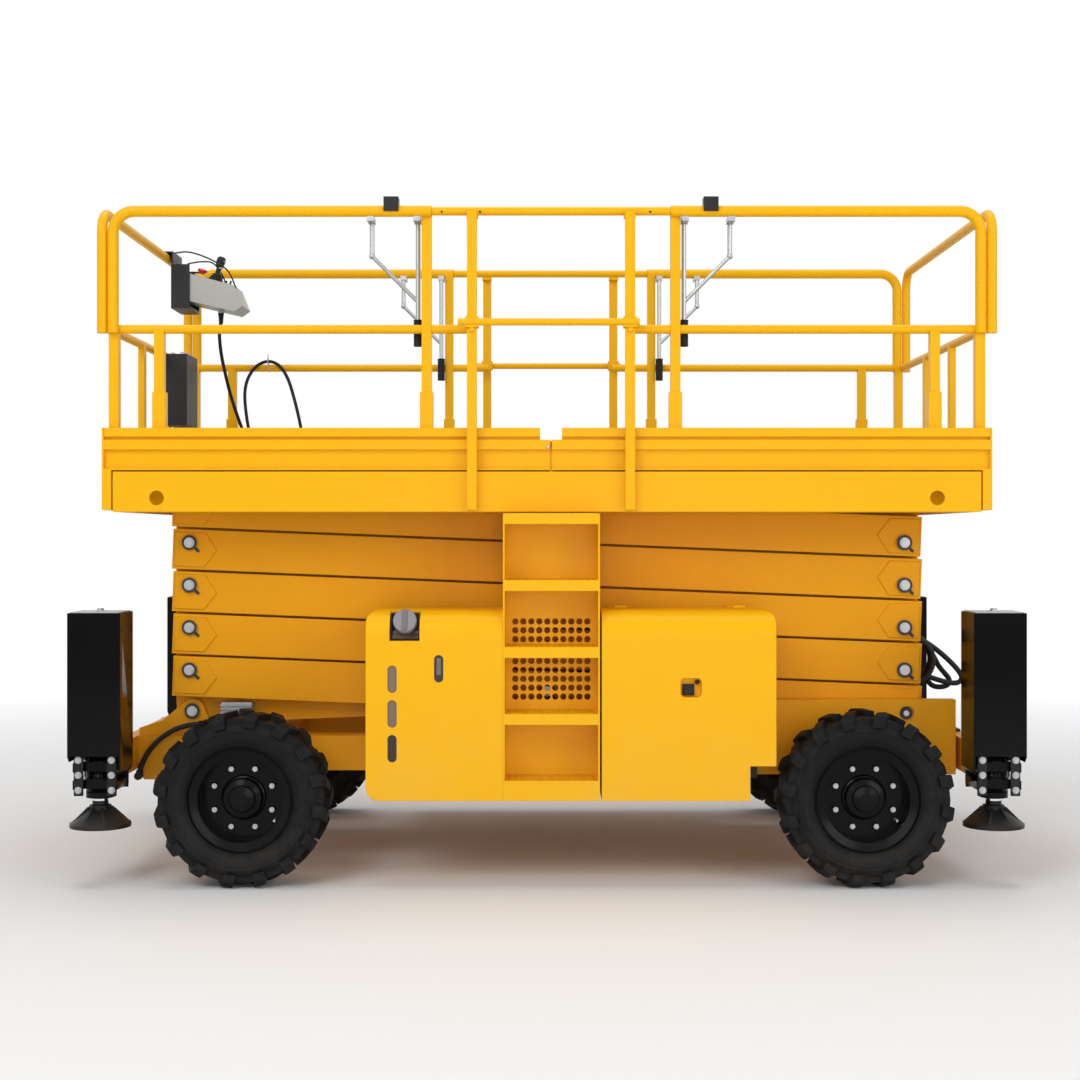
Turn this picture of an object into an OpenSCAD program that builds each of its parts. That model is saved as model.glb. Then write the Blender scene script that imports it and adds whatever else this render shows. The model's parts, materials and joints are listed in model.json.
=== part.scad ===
// Rough-terrain scissor lift, stowed, with a platform that rolls out at both ends.
// Frame: +X to the rear, -X to the steered front, +Z up, ground at Z = 0, millimetres.

/* [Overall] */
// Width over the tyres
overall_w = 2250; // [2200:10:2300]
// Length over the jack covers
overall_l = 4200; // [4180:10:4260]

/* [Wheels] */
// Outer diameter of the tyres, over the lugs
tyre_d = 770; // [750:5:790]
// Section width of the tyres
tyre_w = 265; // [255:5:275]
// Height of the tread lugs
lug_h = 25; // [15:1:30]
// Number of lugs in each of the two rows
lug_count = 16; // [12:1:20]
// Diameter of the rim at the bead
rim_d = 420; // [400:5:430]
// Diameter of the wheel bolt circle
bolt_circle_d = 275; // [260:5:290]
// Number of wheel nuts
nut_count = 8; // [6:1:10]
// Diameter of the wheel spindle
spindle_d = 70; // [60:1:76]
// Distance between the axles
wheelbase = 2750; // [2740:5:2760]
// How far the middle of the wheelbase lies behind the middle of the machine
axle_shift = 30; // [20:1:40]
// Distance from the kingpin to the middle of the wheel
kingpin_offset = 162; // [160:1:170]
// Diameter of the kingpins
kingpin_d = 40; // [34:1:46]
// Length of the steering arms
steer_arm_l = 170; // [160:1:175]

/* [Scissor stack] */
// Number of crossed stages
stages = 5; // [5]
// Distance between the end pins, along the machine, when stowed
pin_span = 3320; // [3300:5:3340]
// Rise of each stage when stowed
stage_rise = 197; // [196:0.5:200]
// Height of the lowest pins above the ground
base_pin_z = 725; // [720:1:730]
// Depth of an arm
arm_h = 186; // [180:1:188]
// Thickness of an arm
arm_t = 70; // [60:1:75]
// How far the end pins lie off the middle of the arm
pin_offset = 31; // [28:1:34]
// Length of an arm past its end pin
arm_end = 80; // [70:1:82]
// Gap between an inner and an outer arm
arm_gap = 15; // [10:1:20]
// Distance from the middle of the machine to the inner arms
inner_arm_y = 475; // [470:1:480]
// Diameter of the pivot pins
pin_d = 60; // [50:1:66]
// Diameter of the cross tubes of the inner frames
cross_tube_d = 90; // [70:1:100]
// Distance of the cross tubes from the middle of an arm
cross_tube_at = 1450; // [1440:1:1470]
// Diameter of the end rollers
roller_d = 90; // [84:1:96]

/* [Lift cylinders] */
// Outer diameter of the barrels
barrel_d = 130; // [115:1:140]
// Diameter of the rods
lift_rod_d = 70; // [55:1:75]
// Distance of the barrel's foot from the middle of its arm
barrel_foot_at = 1250; // [1240:1:1260]
// Fold angle at full height
fold_max = 61.5; // [61.5]

/* [Chassis] */
// Distance from the middle of the machine to the inside of the side rails
rail_y = 470; // [460:1:475]
// Width of a side rail
rail_w = 130; // [120:1:135]
// Bottom of the side rails
rail_z0 = 450; // [448:1:460]
// Top of the side rails
rail_z1 = 612; // [600:1:615]
// Bottom of the covers and ladders
cover_z0 = 384; // [375:1:395]
// Top of the covers
cover_z1 = 1215; // [1190:5:1230]
// Outside of the covers and ladders
cover_y1 = 1105; // [1090:1:1110]
// Wall thickness of the covers
cover_t = 8; // [5:0.5:12]
// Front end of the front covers
cover_x0 = -794; // [-800:1:-780]
// Front edge of the ladders
ladder_x0 = -193; // [-200:1:-185]
// Rear edge of the ladders
ladder_x1 = 232; // [225:1:236]
// Rear end of the rear covers
cover_x1 = 1004; // [980:1:1006]
// Depth of a ladder step
step_depth = 205; // [180:1:215]
// Distance between the steps
step_pitch = 293; // [288:1:296]

/* [Jacks] */
// Length of a jack cover along the machine
jack_l = 232; // [225:1:240]
// Depth of a jack cover across the machine
jack_w = 232; // [226:1:236]
// Thickness of the lashing eyes
lash_t = 25; // [20:1:30]
// Hole of the lashing eyes
lash_hole_d = 40; // [34:1:44]
// Top of the jack covers
jack_z1 = 1206; // [1180:1:1220]
// Diameter of the jack rods
jack_rod_d = 70; // [60:1:76]
// Outer diameter of the jack barrels
jack_barrel_d = 124; // [116:1:130]
// Diameter of the foot plates
foot_d = 268; // [250:1:275]
// Height of the foot plates above the ground, jacks up
foot_z = 255; // [240:1:265]

/* [Platform] */
// Half length of the fixed platform
base_half_l = 1940; // [1930:1:1945]
// Bottom of the fixed platform
base_z0 = 1652; // [1650:1:1660]
// Top of the fixed platform's side panels
base_z1 = 1826; // [1822:1:1830]
// Outside of the fixed platform's side panels
base_y = 950; // [946:1:954]
// Thickness of the fixed platform's side panels
base_t = 8; // [6:0.5:10]
// Diameter of the sling holes in the side panels
sling_hole_d = 65; // [55:1:70]
// Height of the guard rails' middle above the ground
top_rail_z = 3000; // [2980:5:3010]
// Height of the middle rails
mid_rail_z = 2474; // [2450:1:2490]
// Outer diameter of the extensions' top rails
top_rail_d = 50; // [48:1:50]
// Outer diameter of the fixed top rails
slim_rail_d = 38; // [34:1:40]
// Outer diameter of the middle rails
mid_rail_d = 40; // [34:1:42]
// Width of the posts
post_w = 44; // [40:1:46]
// Top of the toe boards
toe_z1 = 2028; // [2015:1:2035]
// How far the meeting of the two extensions lies behind the middle
deck_split_x = 18; // [10:1:24]
// Travel of each extension
deck_travel = 1000; // [900:10:1000]

/* [Hidden] */
$fn = 48;

// Clearances
pin_clear = 0.5;
face_clear = 0.3;
split_gap = 8;
body_gap = 6;
e = 0.01;

// Wheels and axles
wheel_r = tyre_d / 2;
wheel_y = (overall_w - tyre_w) / 2;
front_x = axle_shift - wheelbase / 2;
rear_x = axle_shift + wheelbase / 2;
kingpin_y = wheel_y - kingpin_offset;
rim_r = rim_d / 2;
hub_in = 60;
hub_out = 70;
hub_bore_out = 30;
yoke_h = 90;
ear_t = 22;
ear_r = 45;

// Scissor stack
arm_len = sqrt(pin_span * pin_span + stage_rise * stage_rise);
fold_rest = asin(stage_rise / arm_len);
pin_along = sqrt(arm_len * arm_len / 4 - pin_offset * pin_offset);
arm_tilt = fold_rest - asin(2 * pin_offset / arm_len);
pin_x = pin_span / 2;
outer_arm_y = inner_arm_y + arm_t + arm_gap;
outer_face_y = outer_arm_y + arm_t;
track_y0 = outer_face_y + 10;
track_y1 = track_y0 + 60;
track_web = 10;
track_flange = 18;
roller_r = roller_d / 2;
roller_y0 = track_y0 + 6;
roller_y1 = track_y1 - track_web - 4;
plate_t = 6;
pin_head_t = 10;
top_pin_z = base_pin_z + stages * stage_rise;
function level(i) = base_pin_z + i * stage_rise;
function stage_z(i) = (level(i - 1) + level(i)) / 2;

// Lift cylinders: the barrel stands on an inner frame, and the rod's eye at the middle of the stage above
lift_dx = -barrel_foot_at * cos(fold_rest);
lift_dz = stage_rise - barrel_foot_at * sin(fold_rest);
lift_len = sqrt(lift_dx * lift_dx + lift_dz * lift_dz);
lift_angle = atan2(lift_dz, -lift_dx);
clevis_w = 100;
clevis_t = 24;
clevis_gap = 0.4;
seat_tube_r = 40;
eye_r = 62;

// Chassis
rail_x0 = -overall_l / 2 + 190;
end_beam_l = 60;
nose_z0 = 407;
track_x0 = pin_x - arm_len * (cos(fold_rest) - cos(fold_rest + fold_max)) - roller_r - 45;
track_x1 = pin_x + 225;
track_z0 = 445;
cover_y0 = track_y1 + 12;
cover_round = 105;
cover_corner = 45;
ladder_z1 = base_z0 - 8;
lip_h = 48;
floor_t = 12;
hood_x0 = ladder_x1 + 8;
hinge_r = 11;
hinge_pin_r = 5;
hinge_l = 60;
function hinge_places() = [hood_x0 + 70, cover_x1 - 150];
step_t = 8;
vent_pitch = 36;
vent_d = 28;
vent_cols = 10;

// Jacks
jack_x = overall_l / 2 - jack_l / 2;
jack_y1 = overall_w / 2 - 20;
jack_y0 = jack_y1 - jack_w;
jack_y = (jack_y0 + jack_y1) / 2;
jack_wall = 8;
jack_cut_z = 575;
jack_tip_z = 452;
jack_barrel_z0 = 410;
foot_h = 115;
foot_ribs = 8;

// Platform
base_deck_t = 6;
outrigger_pitch = 600;
deck_z = base_z1 + base_deck_t;
ext_deck_z = deck_z + body_gap;
ext_deck_t = 8;
ext_y = base_y - body_gap;
flange_z0 = 1930;
flange_z1 = 1974;
toe_h = 40;
sleeve_h = 344;
apron_l = 50;
ext_x = base_half_l + apron_l;
rail_line_y = base_y - 30;
post_y0 = ext_y - 74;
post_y1 = ext_y - 31;
side_leg_x = ext_x - 45;
end_leg_x = ext_x + 5;
bend_r = 95;
inner_post_x = 559;
outer_post_x = ext_x - 248;
mid_post_x = 352;
handle_in = 72;
stop_at = 156;
slim_reach = ext_x - 390;
entry_z = mid_rail_z + 21;

// Shared shapes

// Extrudes a profile drawn in Y and Z along X
module along_x(x0, x1) {
  translate([x0, 0, 0]) rotate([90, 0, 90]) linear_extrude(x1 - x0) children();
}

// Extrudes a profile drawn in X and Z along Y
module along_y(y0, y1) {
  translate([0, y1, 0]) rotate([90, 0, 0]) linear_extrude(y1 - y0) children();
}

module box(low, high) {
  translate(low) cube(high - low);
}

module rod_y(x, z, r, y0, y1) {
  translate([x, y1, z]) rotate([90, 0, 0]) cylinder(r = r, h = y1 - y0);
}

module rod_x(y, z, r, x0, x1) {
  translate([x0, y, z]) rotate([0, 90, 0]) cylinder(r = r, h = x1 - x0);
}

module rod_z(x, y, r, z0, z1) {
  translate([x, y, z0]) cylinder(r = r, h = z1 - z0);
}

// The far side as drawn, and its mirror image on the near side
module both_sides() {
  for (near = [0, 1]) mirror([0, near, 0]) children();
}

// What is drawn at the rear, and its mirror image at the front
module both_ends() {
  for (front = [0, 1]) mirror([front, 0, 0]) children();
}

module near_side() {
  mirror([0, 1, 0]) children();
}

// Rectangle with round corners
module round_rect(x0, z0, x1, z1, r) {
  translate([x0 + r, z0]) square([x1 - x0 - 2 * r, z1 - z0]);
  translate([x0, z0 + r]) square([x1 - x0, z1 - z0 - 2 * r]);
  for (x = [x0 + r, x1 - r]) for (z = [z0 + r, z1 - r]) translate([x, z]) circle(r);
}

// Upright slot with round ends
module slot(x, z, w, h) {
  translate([x - w / 2, z - h / 2 + w / 2]) square([w, h - w]);
  for (k = [-1, 1]) translate([x, z + k * (h - w) / 2]) circle(d = w);
}

// Quarter bend of a round tube, in the X-Z plane, from +X round to +Z
module quarter_bend(bend, r) {
  rotate([90, 0, 0]) rotate_extrude(angle = 90) translate([bend, 0]) circle(r);
}

// Wheels

module tyre_profile() {
  side_r = 62;
  body_r = wheel_r - lug_h;
  translate([rim_r - 8 + face_clear, -85.5]) square([60, 171]);
  translate([rim_r + 40, -tyre_w / 2 + 24]) square([body_r - rim_r - 40, tyre_w - 48]);
  for (k = [-1, 1]) translate([rim_r + 80, k * (tyre_w / 2 - side_r - 4)]) circle(side_r);
}

// Band that the lugs are cut from: tread face, shoulders and the upper side walls
module lug_band() {
  half = tyre_w / 2;
  polygon([
    [wheel_r - lug_h - 10, -half + 30], [wheel_r - 62, -half + 14], [wheel_r - 62, -half],
    [wheel_r - 30, -half], [wheel_r - 8, -half + 14], [wheel_r, -half + 34],
    [wheel_r, half - 34], [wheel_r - 8, half - 14], [wheel_r - 30, half],
    [wheel_r - 62, half], [wheel_r - 62, half - 14], [wheel_r - lug_h - 10, half - 30]
  ]);
}

// One slanting lug, cut along the radius, from the middle of the tread over the shoulder
module lug_cutter(side) {
  half = tyre_w / 2;
  translate([wheel_r - 70, 0, 0]) rotate([90, 0, 90]) linear_extrude(80)
    polygon([[-46, side * -8], [-4, side * -8], [50, side * (half + 2)], [-2, side * (half + 2)]]);
}

module tyre() {
  color("#22242a") rotate([90, 0, 0]) {
    rotate_extrude() tyre_profile();
    intersection() {
      rotate_extrude() lug_band();
      for (side = [-1, 1]) for (i = [0 : lug_count - 1])
        rotate([0, 0, (i + (side > 0 ? 0 : 0.5)) * 360 / lug_count - 90])
          lug_cutter(side);
    }
  }
}

module rim_profile() {
  polygon([
    [0, hub_bore_out], [spindle_d / 2 + pin_clear, hub_bore_out], [spindle_d / 2 + pin_clear, -hub_in],
    [92, -hub_in], [92, -12], [rim_r - 22, -12], [rim_r - 22, -98], [rim_r + 12, -108], [rim_r + 12, -96],
    [rim_r - 8, -86], [rim_r - 8, 86], [rim_r + 12, 96], [rim_r + 12, 108], [rim_r - 22, 98],
    [rim_r - 22, 4], [100, 4], [96, 14], [88, 18], [84, 46], [60, 54], [56, 64], [26, hub_out], [0, hub_out]
  ]);
}

// Rim and hub in one, its outside towards +Y
module rim() {
  color("#161616") rotate([-90, 0, 0]) {
    rotate_extrude() rim_profile();
    for (i = [0 : nut_count - 1]) rotate([0, 0, (i + 0.5) * 360 / nut_count])
      translate([bolt_circle_d / 2, 0, 0]) cylinder(r = 15, h = 24, $fn = 6);
  }
}

module place_wheel(x, far) {
  translate([x, (far ? 1 : -1) * wheel_y, wheel_r]) mirror([0, far ? 0 : 1, 0]) children();
}

// Axles and steering

module kingpin_yoke() {
  for (z = [wheel_r - yoke_h - ear_t, wheel_r + yoke_h]) {
    rod_z(front_x, kingpin_y, ear_r, z, z + ear_t);
    box([front_x - ear_r, kingpin_y - 110, z], [front_x + ear_r, kingpin_y, z + ear_t]);
  }
  box([front_x - ear_r, kingpin_y - 110, wheel_r - yoke_h],
      [front_x + ear_r, kingpin_y - 66, wheel_r + yoke_h]);
  rod_z(front_x, kingpin_y, kingpin_d / 2, wheel_r - yoke_h - 1, wheel_r + yoke_h + 1);
}

steer_barrel_x = front_x + 115;
steer_barrel_z = wheel_r + 20;
steer_eye_y = 330;
steer_rod_d = 32;

module front_axle() {
  color("#2a2a2a") difference() {
    union() {
      box([front_x - 60, -kingpin_y + 100, wheel_r - 60], [front_x + 60, kingpin_y - 100, wheel_r + 60]);
      both_sides() kingpin_yoke();
      // pivot block under the chassis
      box([front_x - 80, -90, wheel_r + 50], [front_x + 80, 90, rail_z0 + 60]);
      // steering cylinder barrel on its brackets
      rod_y(steer_barrel_x, steer_barrel_z, 34, -200, 140);
      for (y = [-170, 80])
        box([front_x + 50, y, steer_barrel_z - 20], [steer_barrel_x, y + 30, steer_barrel_z + 20]);
    }
    rod_y(steer_barrel_x, steer_barrel_z, steer_rod_d / 2 + pin_clear, -150, 141);
  }
}

module rear_axle() {
  color("#2a2a2a") {
    box([rear_x - 60, -kingpin_y - 20, wheel_r - 60], [rear_x + 60, kingpin_y + 20, wheel_r + 60]);
    for (x = [rear_x - 60, rear_x + 30]) both_sides()
      box([x, rail_y + 10, wheel_r + 50], [x + 30, rail_y + rail_w - 10, rail_z0]);
    both_sides() {
      rod_y(rear_x, wheel_r, 80, kingpin_y + 10, wheel_y - hub_in - 7);
      rod_y(rear_x, wheel_r, spindle_d / 2, kingpin_y, wheel_y + hub_bore_out - 4);
    }
  }
}

arm_z0 = wheel_r - 75;
arm_z1 = wheel_r - 50;

// Steered hub carrier with its steering arm, far side
module knuckle() {
  color("#2a2a2a") difference() {
    union() {
      rod_z(front_x, kingpin_y, ear_r, wheel_r - yoke_h + 3, wheel_r + yoke_h - 3);
      rod_y(front_x, wheel_r, 74, kingpin_y + 38, wheel_y - hub_in - 7);
      rod_y(front_x, wheel_r, 40, kingpin_y, kingpin_y + 60);
      rod_y(front_x, wheel_r, spindle_d / 2, kingpin_y + 40, wheel_y + hub_bore_out - 4);
      box([front_x, kingpin_y - 22, arm_z0], [front_x + steer_arm_l, kingpin_y + 22, arm_z1]);
      rod_z(front_x + steer_arm_l, kingpin_y, 24, arm_z0, arm_z1);
      rod_z(front_x + steer_arm_l, kingpin_y, 12, arm_z0, arm_z1 + 44);
    }
    rod_z(front_x, kingpin_y, kingpin_d / 2 + pin_clear, 0, 2 * wheel_r);
  }
}

tie_z = arm_z1 + 20;

module tie_rod() {
  color("#3a3a3a") difference() {
    union() {
      rod_y(front_x + steer_arm_l, tie_z, 16, -kingpin_y, kingpin_y);
      both_sides() rod_z(front_x + steer_arm_l, kingpin_y, 26, tie_z - 18, tie_z + 18);
      box([steer_barrel_x - 21, steer_eye_y - 30, tie_z - 2],
          [front_x + steer_arm_l, steer_eye_y + 30, tie_z + 10]);
    }
    both_sides() rod_z(front_x + steer_arm_l, kingpin_y, 12 + pin_clear, 0, 2 * wheel_r);
    box([steer_barrel_x - 13, steer_eye_y - 16, 0], [steer_barrel_x + 37, steer_eye_y + 16, 2 * wheel_r]);
  }
}

module steer_rod() {
  color("#c8c8c8") {
    rod_y(steer_barrel_x, steer_barrel_z, steer_rod_d / 2, -30, steer_eye_y);
    rod_z(steer_barrel_x, steer_eye_y, 24, steer_barrel_z - 18, steer_barrel_z + 18);
    rod_z(steer_barrel_x, steer_eye_y, 12, tie_z - 14, steer_barrel_z);
  }
}

// Chassis

// C-section beam that guides a roller, far side, open towards the middle
module track_section(z_mid, z0, z1) {
  half = roller_r + 1.5;
  translate([track_y1 - track_web, z0]) square([track_web, z1 - z0]);
  translate([track_y0, z_mid + half]) square([track_y1 - track_y0, track_flange]);
  low = max(z0, z_mid - half - track_flange);
  translate([track_y0, low]) square([track_y1 - track_y0, z_mid - half - low]);
  if (low > z0) translate([track_y0, z0]) square([track_y1 - track_y0, track_flange]);
}

// Plate that carries the fixed pivot, with its front foot as long as reach
module pivot_lug(y0, y1, reach) {
  round_r = 58;
  corner = round_r * cos(45);
  along_y(y0, y1) {
    translate([-pin_x, base_pin_z]) circle(round_r);
    polygon([
      [-pin_x - corner, base_pin_z + corner], [-pin_x - 140, rail_z1 + 68], [-pin_x - reach, rail_z1 + 33],
      [-pin_x - reach, rail_z1 - 1], [-pin_x + 120, rail_z1 - 1], [-pin_x + round_r, base_pin_z]
    ]);
  }
}

// Deeper nose of a side rail, below its front end
module rail_nose() {
  along_y(rail_y + rail_w - 40, rail_y + rail_w) polygon([
    [rail_x0, rail_z0 + 1], [rail_x0, nose_z0 + 40], [rail_x0 + 30, nose_z0],
    [-pin_x + 40, nose_z0], [-pin_x + 110, rail_z0 + 1]
  ]);
}

module chassis_frame() {
  color("#f2b705") difference() {
    union() {
      both_sides() {
        // side rail
        box([rail_x0, rail_y, rail_z0], [-rail_x0, rail_y + rail_w, rail_z1]);
        // roller track, on the outside of the rail
        along_x(track_x0, track_x1)
          track_section(base_pin_z, track_z0, base_pin_z + roller_r + 1.5 + track_flange);
        box([track_x0, rail_y + rail_w - 1, track_z0], [track_x1, track_y0 + 1, track_z0 + track_flange]);
        // lugs and pin of the fixed pivot
        pivot_lug(inner_arm_y + arm_t + 6, inner_arm_y + arm_t + 28, -pin_x - rail_x0);
        pivot_lug(rail_y - 28, rail_y - 6 + 0.5, 160);
        rail_nose();
        rod_y(-pin_x, base_pin_z, pin_d / 2, rail_y - 26, inner_arm_y + arm_t + 26);
        rod_y(-pin_x, base_pin_z, 39, inner_arm_y + arm_t + 26, inner_arm_y + arm_t + 38);
        box([-pin_x - 160, rail_y - 28, rail_z1 - 60], [-pin_x + 120, rail_y + 1, rail_z1]);
        // hinge rail of the rear cover, on two uprights, with the hinge pins in their ears
        for (x = [ladder_x1 + 60, cover_x1 - 120])
          box([x, track_y1 - 1, track_z0 + 20], [x + 60, cover_y0 - face_clear, cover_z1 - 30]);
        box([ladder_x1 + 20, track_y1, cover_z1 - 80], [cover_x1 - 20, cover_y0 - face_clear, cover_z1 - 26]);
        for (x = hinge_places()) {
          rod_x(cover_y0, cover_z1, hinge_pin_r, x - 22, x + hinge_l + 22);
          for (ear = [x - 26, x + hinge_l + 6]) {
            rod_x(cover_y0, cover_z1, hinge_r, ear, ear + 20);
            box([ear, track_y1, cover_z1 - 40], [ear + 20, cover_y0, cover_z1]);
          }
        }
        // pod floors on both sides of the ladder
        box([cover_x0 + 30, rail_y + rail_w - 1, rail_z0],
            [ladder_x0 - cover_t - 2, cover_y1 - 30, rail_z0 + floor_t]);
        box([hood_x0 + cover_t + body_gap, rail_y + rail_w - 1, rail_z0],
            [cover_x1 - 130, cover_y1 - 30, rail_z0 + floor_t]);
      }
      // end beams out to the jacks
      both_ends()
        box([-rail_x0 - 1, -jack_y0, rail_z0 + 10], [-rail_x0 + end_beam_l, jack_y0, rail_z1]);
      // cross members
      for (x = [-760, -60, 760])
        box([x, -rail_y - 1, rail_z0 + 5], [x + 110, rail_y + 1, rail_z1 - 60]);
      box([front_x - 70, -rail_y - 1, rail_z0 + 60], [front_x + 70, rail_y + 1, rail_z1 - 20]);
    }
    // access hole in line with the roller's pin
    both_sides() rod_y(pin_x, base_pin_z, 34, track_y1 - track_web - 1, track_y1 + 1);
  }
}

// Eye plates on the end beams, for lashing the machine down
module lashing_eyes() {
  x0 = end_beam_l - rail_x0;
  z0 = rail_z1 - 60;
  color("#d9a008") both_ends() both_sides() difference() {
    union() {
      box([x0, rail_y + 20, z0], [x0 + 40, rail_y + 110, z0 + lash_t]);
      rod_z(x0 + 40, rail_y + 65, 45, z0, z0 + lash_t);
    }
    rod_z(x0 + 44, rail_y + 65, lash_hole_d / 2, z0 - 1, z0 + lash_t + 1);
    box([x0 - 60, 0, z0 - 1], [x0, 2 * rail_y, z0 + lash_t + 1]);
  }
}

// Covers and ladders

// Round-shouldered cover, far side, from x0 to x1, drawn in by inset
module cover_body(x0, x1, inset, r_front, r_rear) {
  y1 = cover_y1 - inset;
  z1 = cover_z1 - inset;
  r = cover_round - inset;
  intersection() {
    along_x(x0 + inset, x1 - inset) {
      translate([cover_y0 - (inset > 0 ? 50 : 0), cover_z0 - (inset > 0 ? 50 : 0)])
        square([y1 - r - cover_y0 + (inset > 0 ? 50 : 0), z1 - cover_z0 + (inset > 0 ? 50 : 0)]);
      translate([cover_y0, cover_z0 - (inset > 0 ? 50 : 0)])
        square([y1 - cover_y0, z1 - r - cover_z0 + (inset > 0 ? 50 : 0)]);
      translate([y1 - r, z1 - r]) circle(r);
    }
    along_y(cover_y0 - 60, cover_y1 + 1) {
      translate([x0 + inset, cover_z0 - 60])
        square([x1 - x0 - 2 * inset, z1 - cover_z0 + 60 - cover_corner]);
      translate([x0 + inset + r_front, cover_z0 - 60])
        square([x1 - x0 - 2 * inset - r_front - r_rear, z1 - cover_z0 + 60]);
      if (r_front > 0) translate([x0 + inset + r_front, z1 - r_front]) circle(r_front);
      if (r_rear > 0) translate([x1 - inset - r_rear, z1 - r_rear]) circle(r_rear);
    }
  }
}

filler_x = cover_x0 + 170;

module front_cover(near) {
  difference() {
    cover_body(cover_x0, ladder_x0 - face_clear, 0, cover_corner, 0);
    cover_body(cover_x0, ladder_x0 - face_clear, cover_t, cover_corner, 0);
    along_y(cover_y1 - 2 * cover_t, cover_y1 + 1) {
      for (k = [0 : 2]) slot(cover_x0 + 116, 917 - k * 152, 40, 120);
      slot(cover_x0 + 320, 963, 40, 120);
    }
    if (near)
      box([filler_x - 66, cover_y1 - 95, cover_z1 - 130], [filler_x + 66, cover_y1 + 1, cover_z1 + 1]);
    // rounded lower front corner
    along_y(cover_y0 - 60, cover_y1 + 2) difference() {
      translate([cover_x0 - 1, cover_z0 - 1]) square(61);
      translate([cover_x0 + 60, cover_z0 + 60]) circle(60);
    }
  }
}

module front_covers() {
  color("#fbc30d") {
    front_cover(false);
    near_side() front_cover(true);
  }
}

// Recessed filler neck with its cap, in the near front cover
module filler_cap() {
  color("#1c1c1c") near_side() {
    difference() {
      box([filler_x - 66 + face_clear, cover_y1 - 95 + face_clear, cover_z1 - 130 + face_clear],
          [filler_x + 66 - face_clear, cover_y1 - 40, cover_z1 - 12]);
      box([filler_x - 57, cover_y1 - 86, cover_z1 - 121], [filler_x + 57, cover_y1, cover_z1]);
    }
    translate([filler_x, cover_y1 - 87, cover_z1 - 66]) rotate([-70, 0, 0]) {
      cylinder(r = 40, h = 40);
      translate([0, 0, 38]) cylinder(r = 50, h = 26);
      translate([-48, -9, 60]) cube([96, 18, 12]);
    }
  }
}

latch_x = 631;
latch_z = 880;

// Rear cover that lifts on the hinge along its upper inner edge, far side
module hood() {
  x0 = hood_x0;
  notch_l = 114;
  notch_h = 152;
  difference() {
    cover_body(x0, cover_x1, 0, 0, cover_corner);
    cover_body(x0, cover_x1, cover_t, 0, cover_corner);
    box([cover_x1 - notch_l, cover_y0 - 1, cover_z0 - 1], [cover_x1 + 1, cover_y1 + 1, cover_z0 + notch_h]);
    along_y(cover_y1 - 2 * cover_t, cover_y1 + 1)
      round_rect(latch_x - 46, latch_z - 42, latch_x + 46, latch_z + 42, 20);
    // room for the hinges
    for (x = hinge_places())
      box([x - 32, cover_y0 - 1, cover_z1 - 20], [x + hinge_l + 32, cover_y0 + 20, cover_z1 + 1]);
  }
  for (x = hinge_places()) difference() {
    union() {
      rod_x(cover_y0, cover_z1, hinge_r, x, x + hinge_l);
      box([x, cover_y0 + 2, cover_z1 - cover_t], [x + hinge_l, cover_y0 + 21, cover_z1]);
    }
    rod_x(cover_y0, cover_z1, hinge_pin_r + pin_clear, x - 1, x + hinge_l + 1);
  }
  // lip along the notch
  box([cover_x1 - notch_l - cover_t, cover_y0, cover_z0],
      [cover_x1 - notch_l, cover_y1 - 2, cover_z0 + notch_h + cover_t]);
  box([cover_x1 - notch_l - cover_t, cover_y0, cover_z0 + notch_h],
      [cover_x1 - 1, cover_y1 - 2, cover_z0 + notch_h + cover_t]);
  // latch pan
  difference() {
    along_y(cover_y1 - 45, cover_y1 - 2)
      round_rect(latch_x - 52, latch_z - 48, latch_x + 52, latch_z + 48, 24);
    along_y(cover_y1 - 39, cover_y1 + 1)
      round_rect(latch_x - 46, latch_z - 42, latch_x + 46, latch_z + 42, 20);
  }
}

module hood_far() {
  color("#fbc30d") hood();
}

module hood_near() {
  color("#fbc30d") near_side() hood();
}

// Ladder pressed from sheet between the covers: cheeks, back panel, steps with deep lips
module ladder() {
  back_y = cover_y1 - step_depth;
  difference() {
    union() {
      for (x = [ladder_x0, ladder_x1 - step_t])
        box([x, track_y1 + face_clear, cover_z0], [x + step_t, cover_y1, ladder_z1]);
      box([ladder_x0, back_y - step_t, cover_z0], [ladder_x1, back_y, ladder_z1]);
      for (k = [0 : 4]) {
        z = ladder_z1 - k * step_pitch;
        box([ladder_x0, back_y - 1, z - step_t], [ladder_x1, cover_y1, z]);
        box([ladder_x0, cover_y1 - step_t, z - (k == 4 ? lip_h + 40 : lip_h)], [ladder_x1, cover_y1, z]);
      }
    }
    // air vents in the back panel
    for (row = [0 : 7]) for (col = [0 : vent_cols - 1])
      rod_y((ladder_x0 + ladder_x1) / 2 + (col - (vent_cols - 1) / 2) * vent_pitch,
            ladder_z1 - 2 * step_pitch + (row < 3 ? 22 + row * 40 : -76 - (row - 3) * 40),
            vent_d / 2, back_y - step_t - 1, back_y + 1, $fn = 16);
  }
}

module access_ladders() {
  color("#f6bc08") both_sides() ladder();
}

module engine_block() {
  color("#3c3c3c")
    box([ladder_x1 + 110, cover_y0 + 30, rail_z0 + floor_t], [cover_x1 - 150, cover_y1 - 80, cover_z1 - 140]);
}

cooler_x = -pin_x + 145;
cooler_l = 140;

// Oil cooler with level fins, beside the near rail
module cooler_box() {
  color("#a8abad") near_side() {
    box([cooler_x, outer_arm_y + 6, rail_z1], [cooler_x + cooler_l, track_y0 - 12, rail_z1 + 158]);
    for (k = [0 : 8])
      box([cooler_x - 4, outer_arm_y + 2, rail_z1 + 6 + k * 17],
          [cooler_x + cooler_l + 4, track_y0, rail_z1 + 14 + k * 17]);
  }
}

// Hoses

hose_r = 15;

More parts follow.
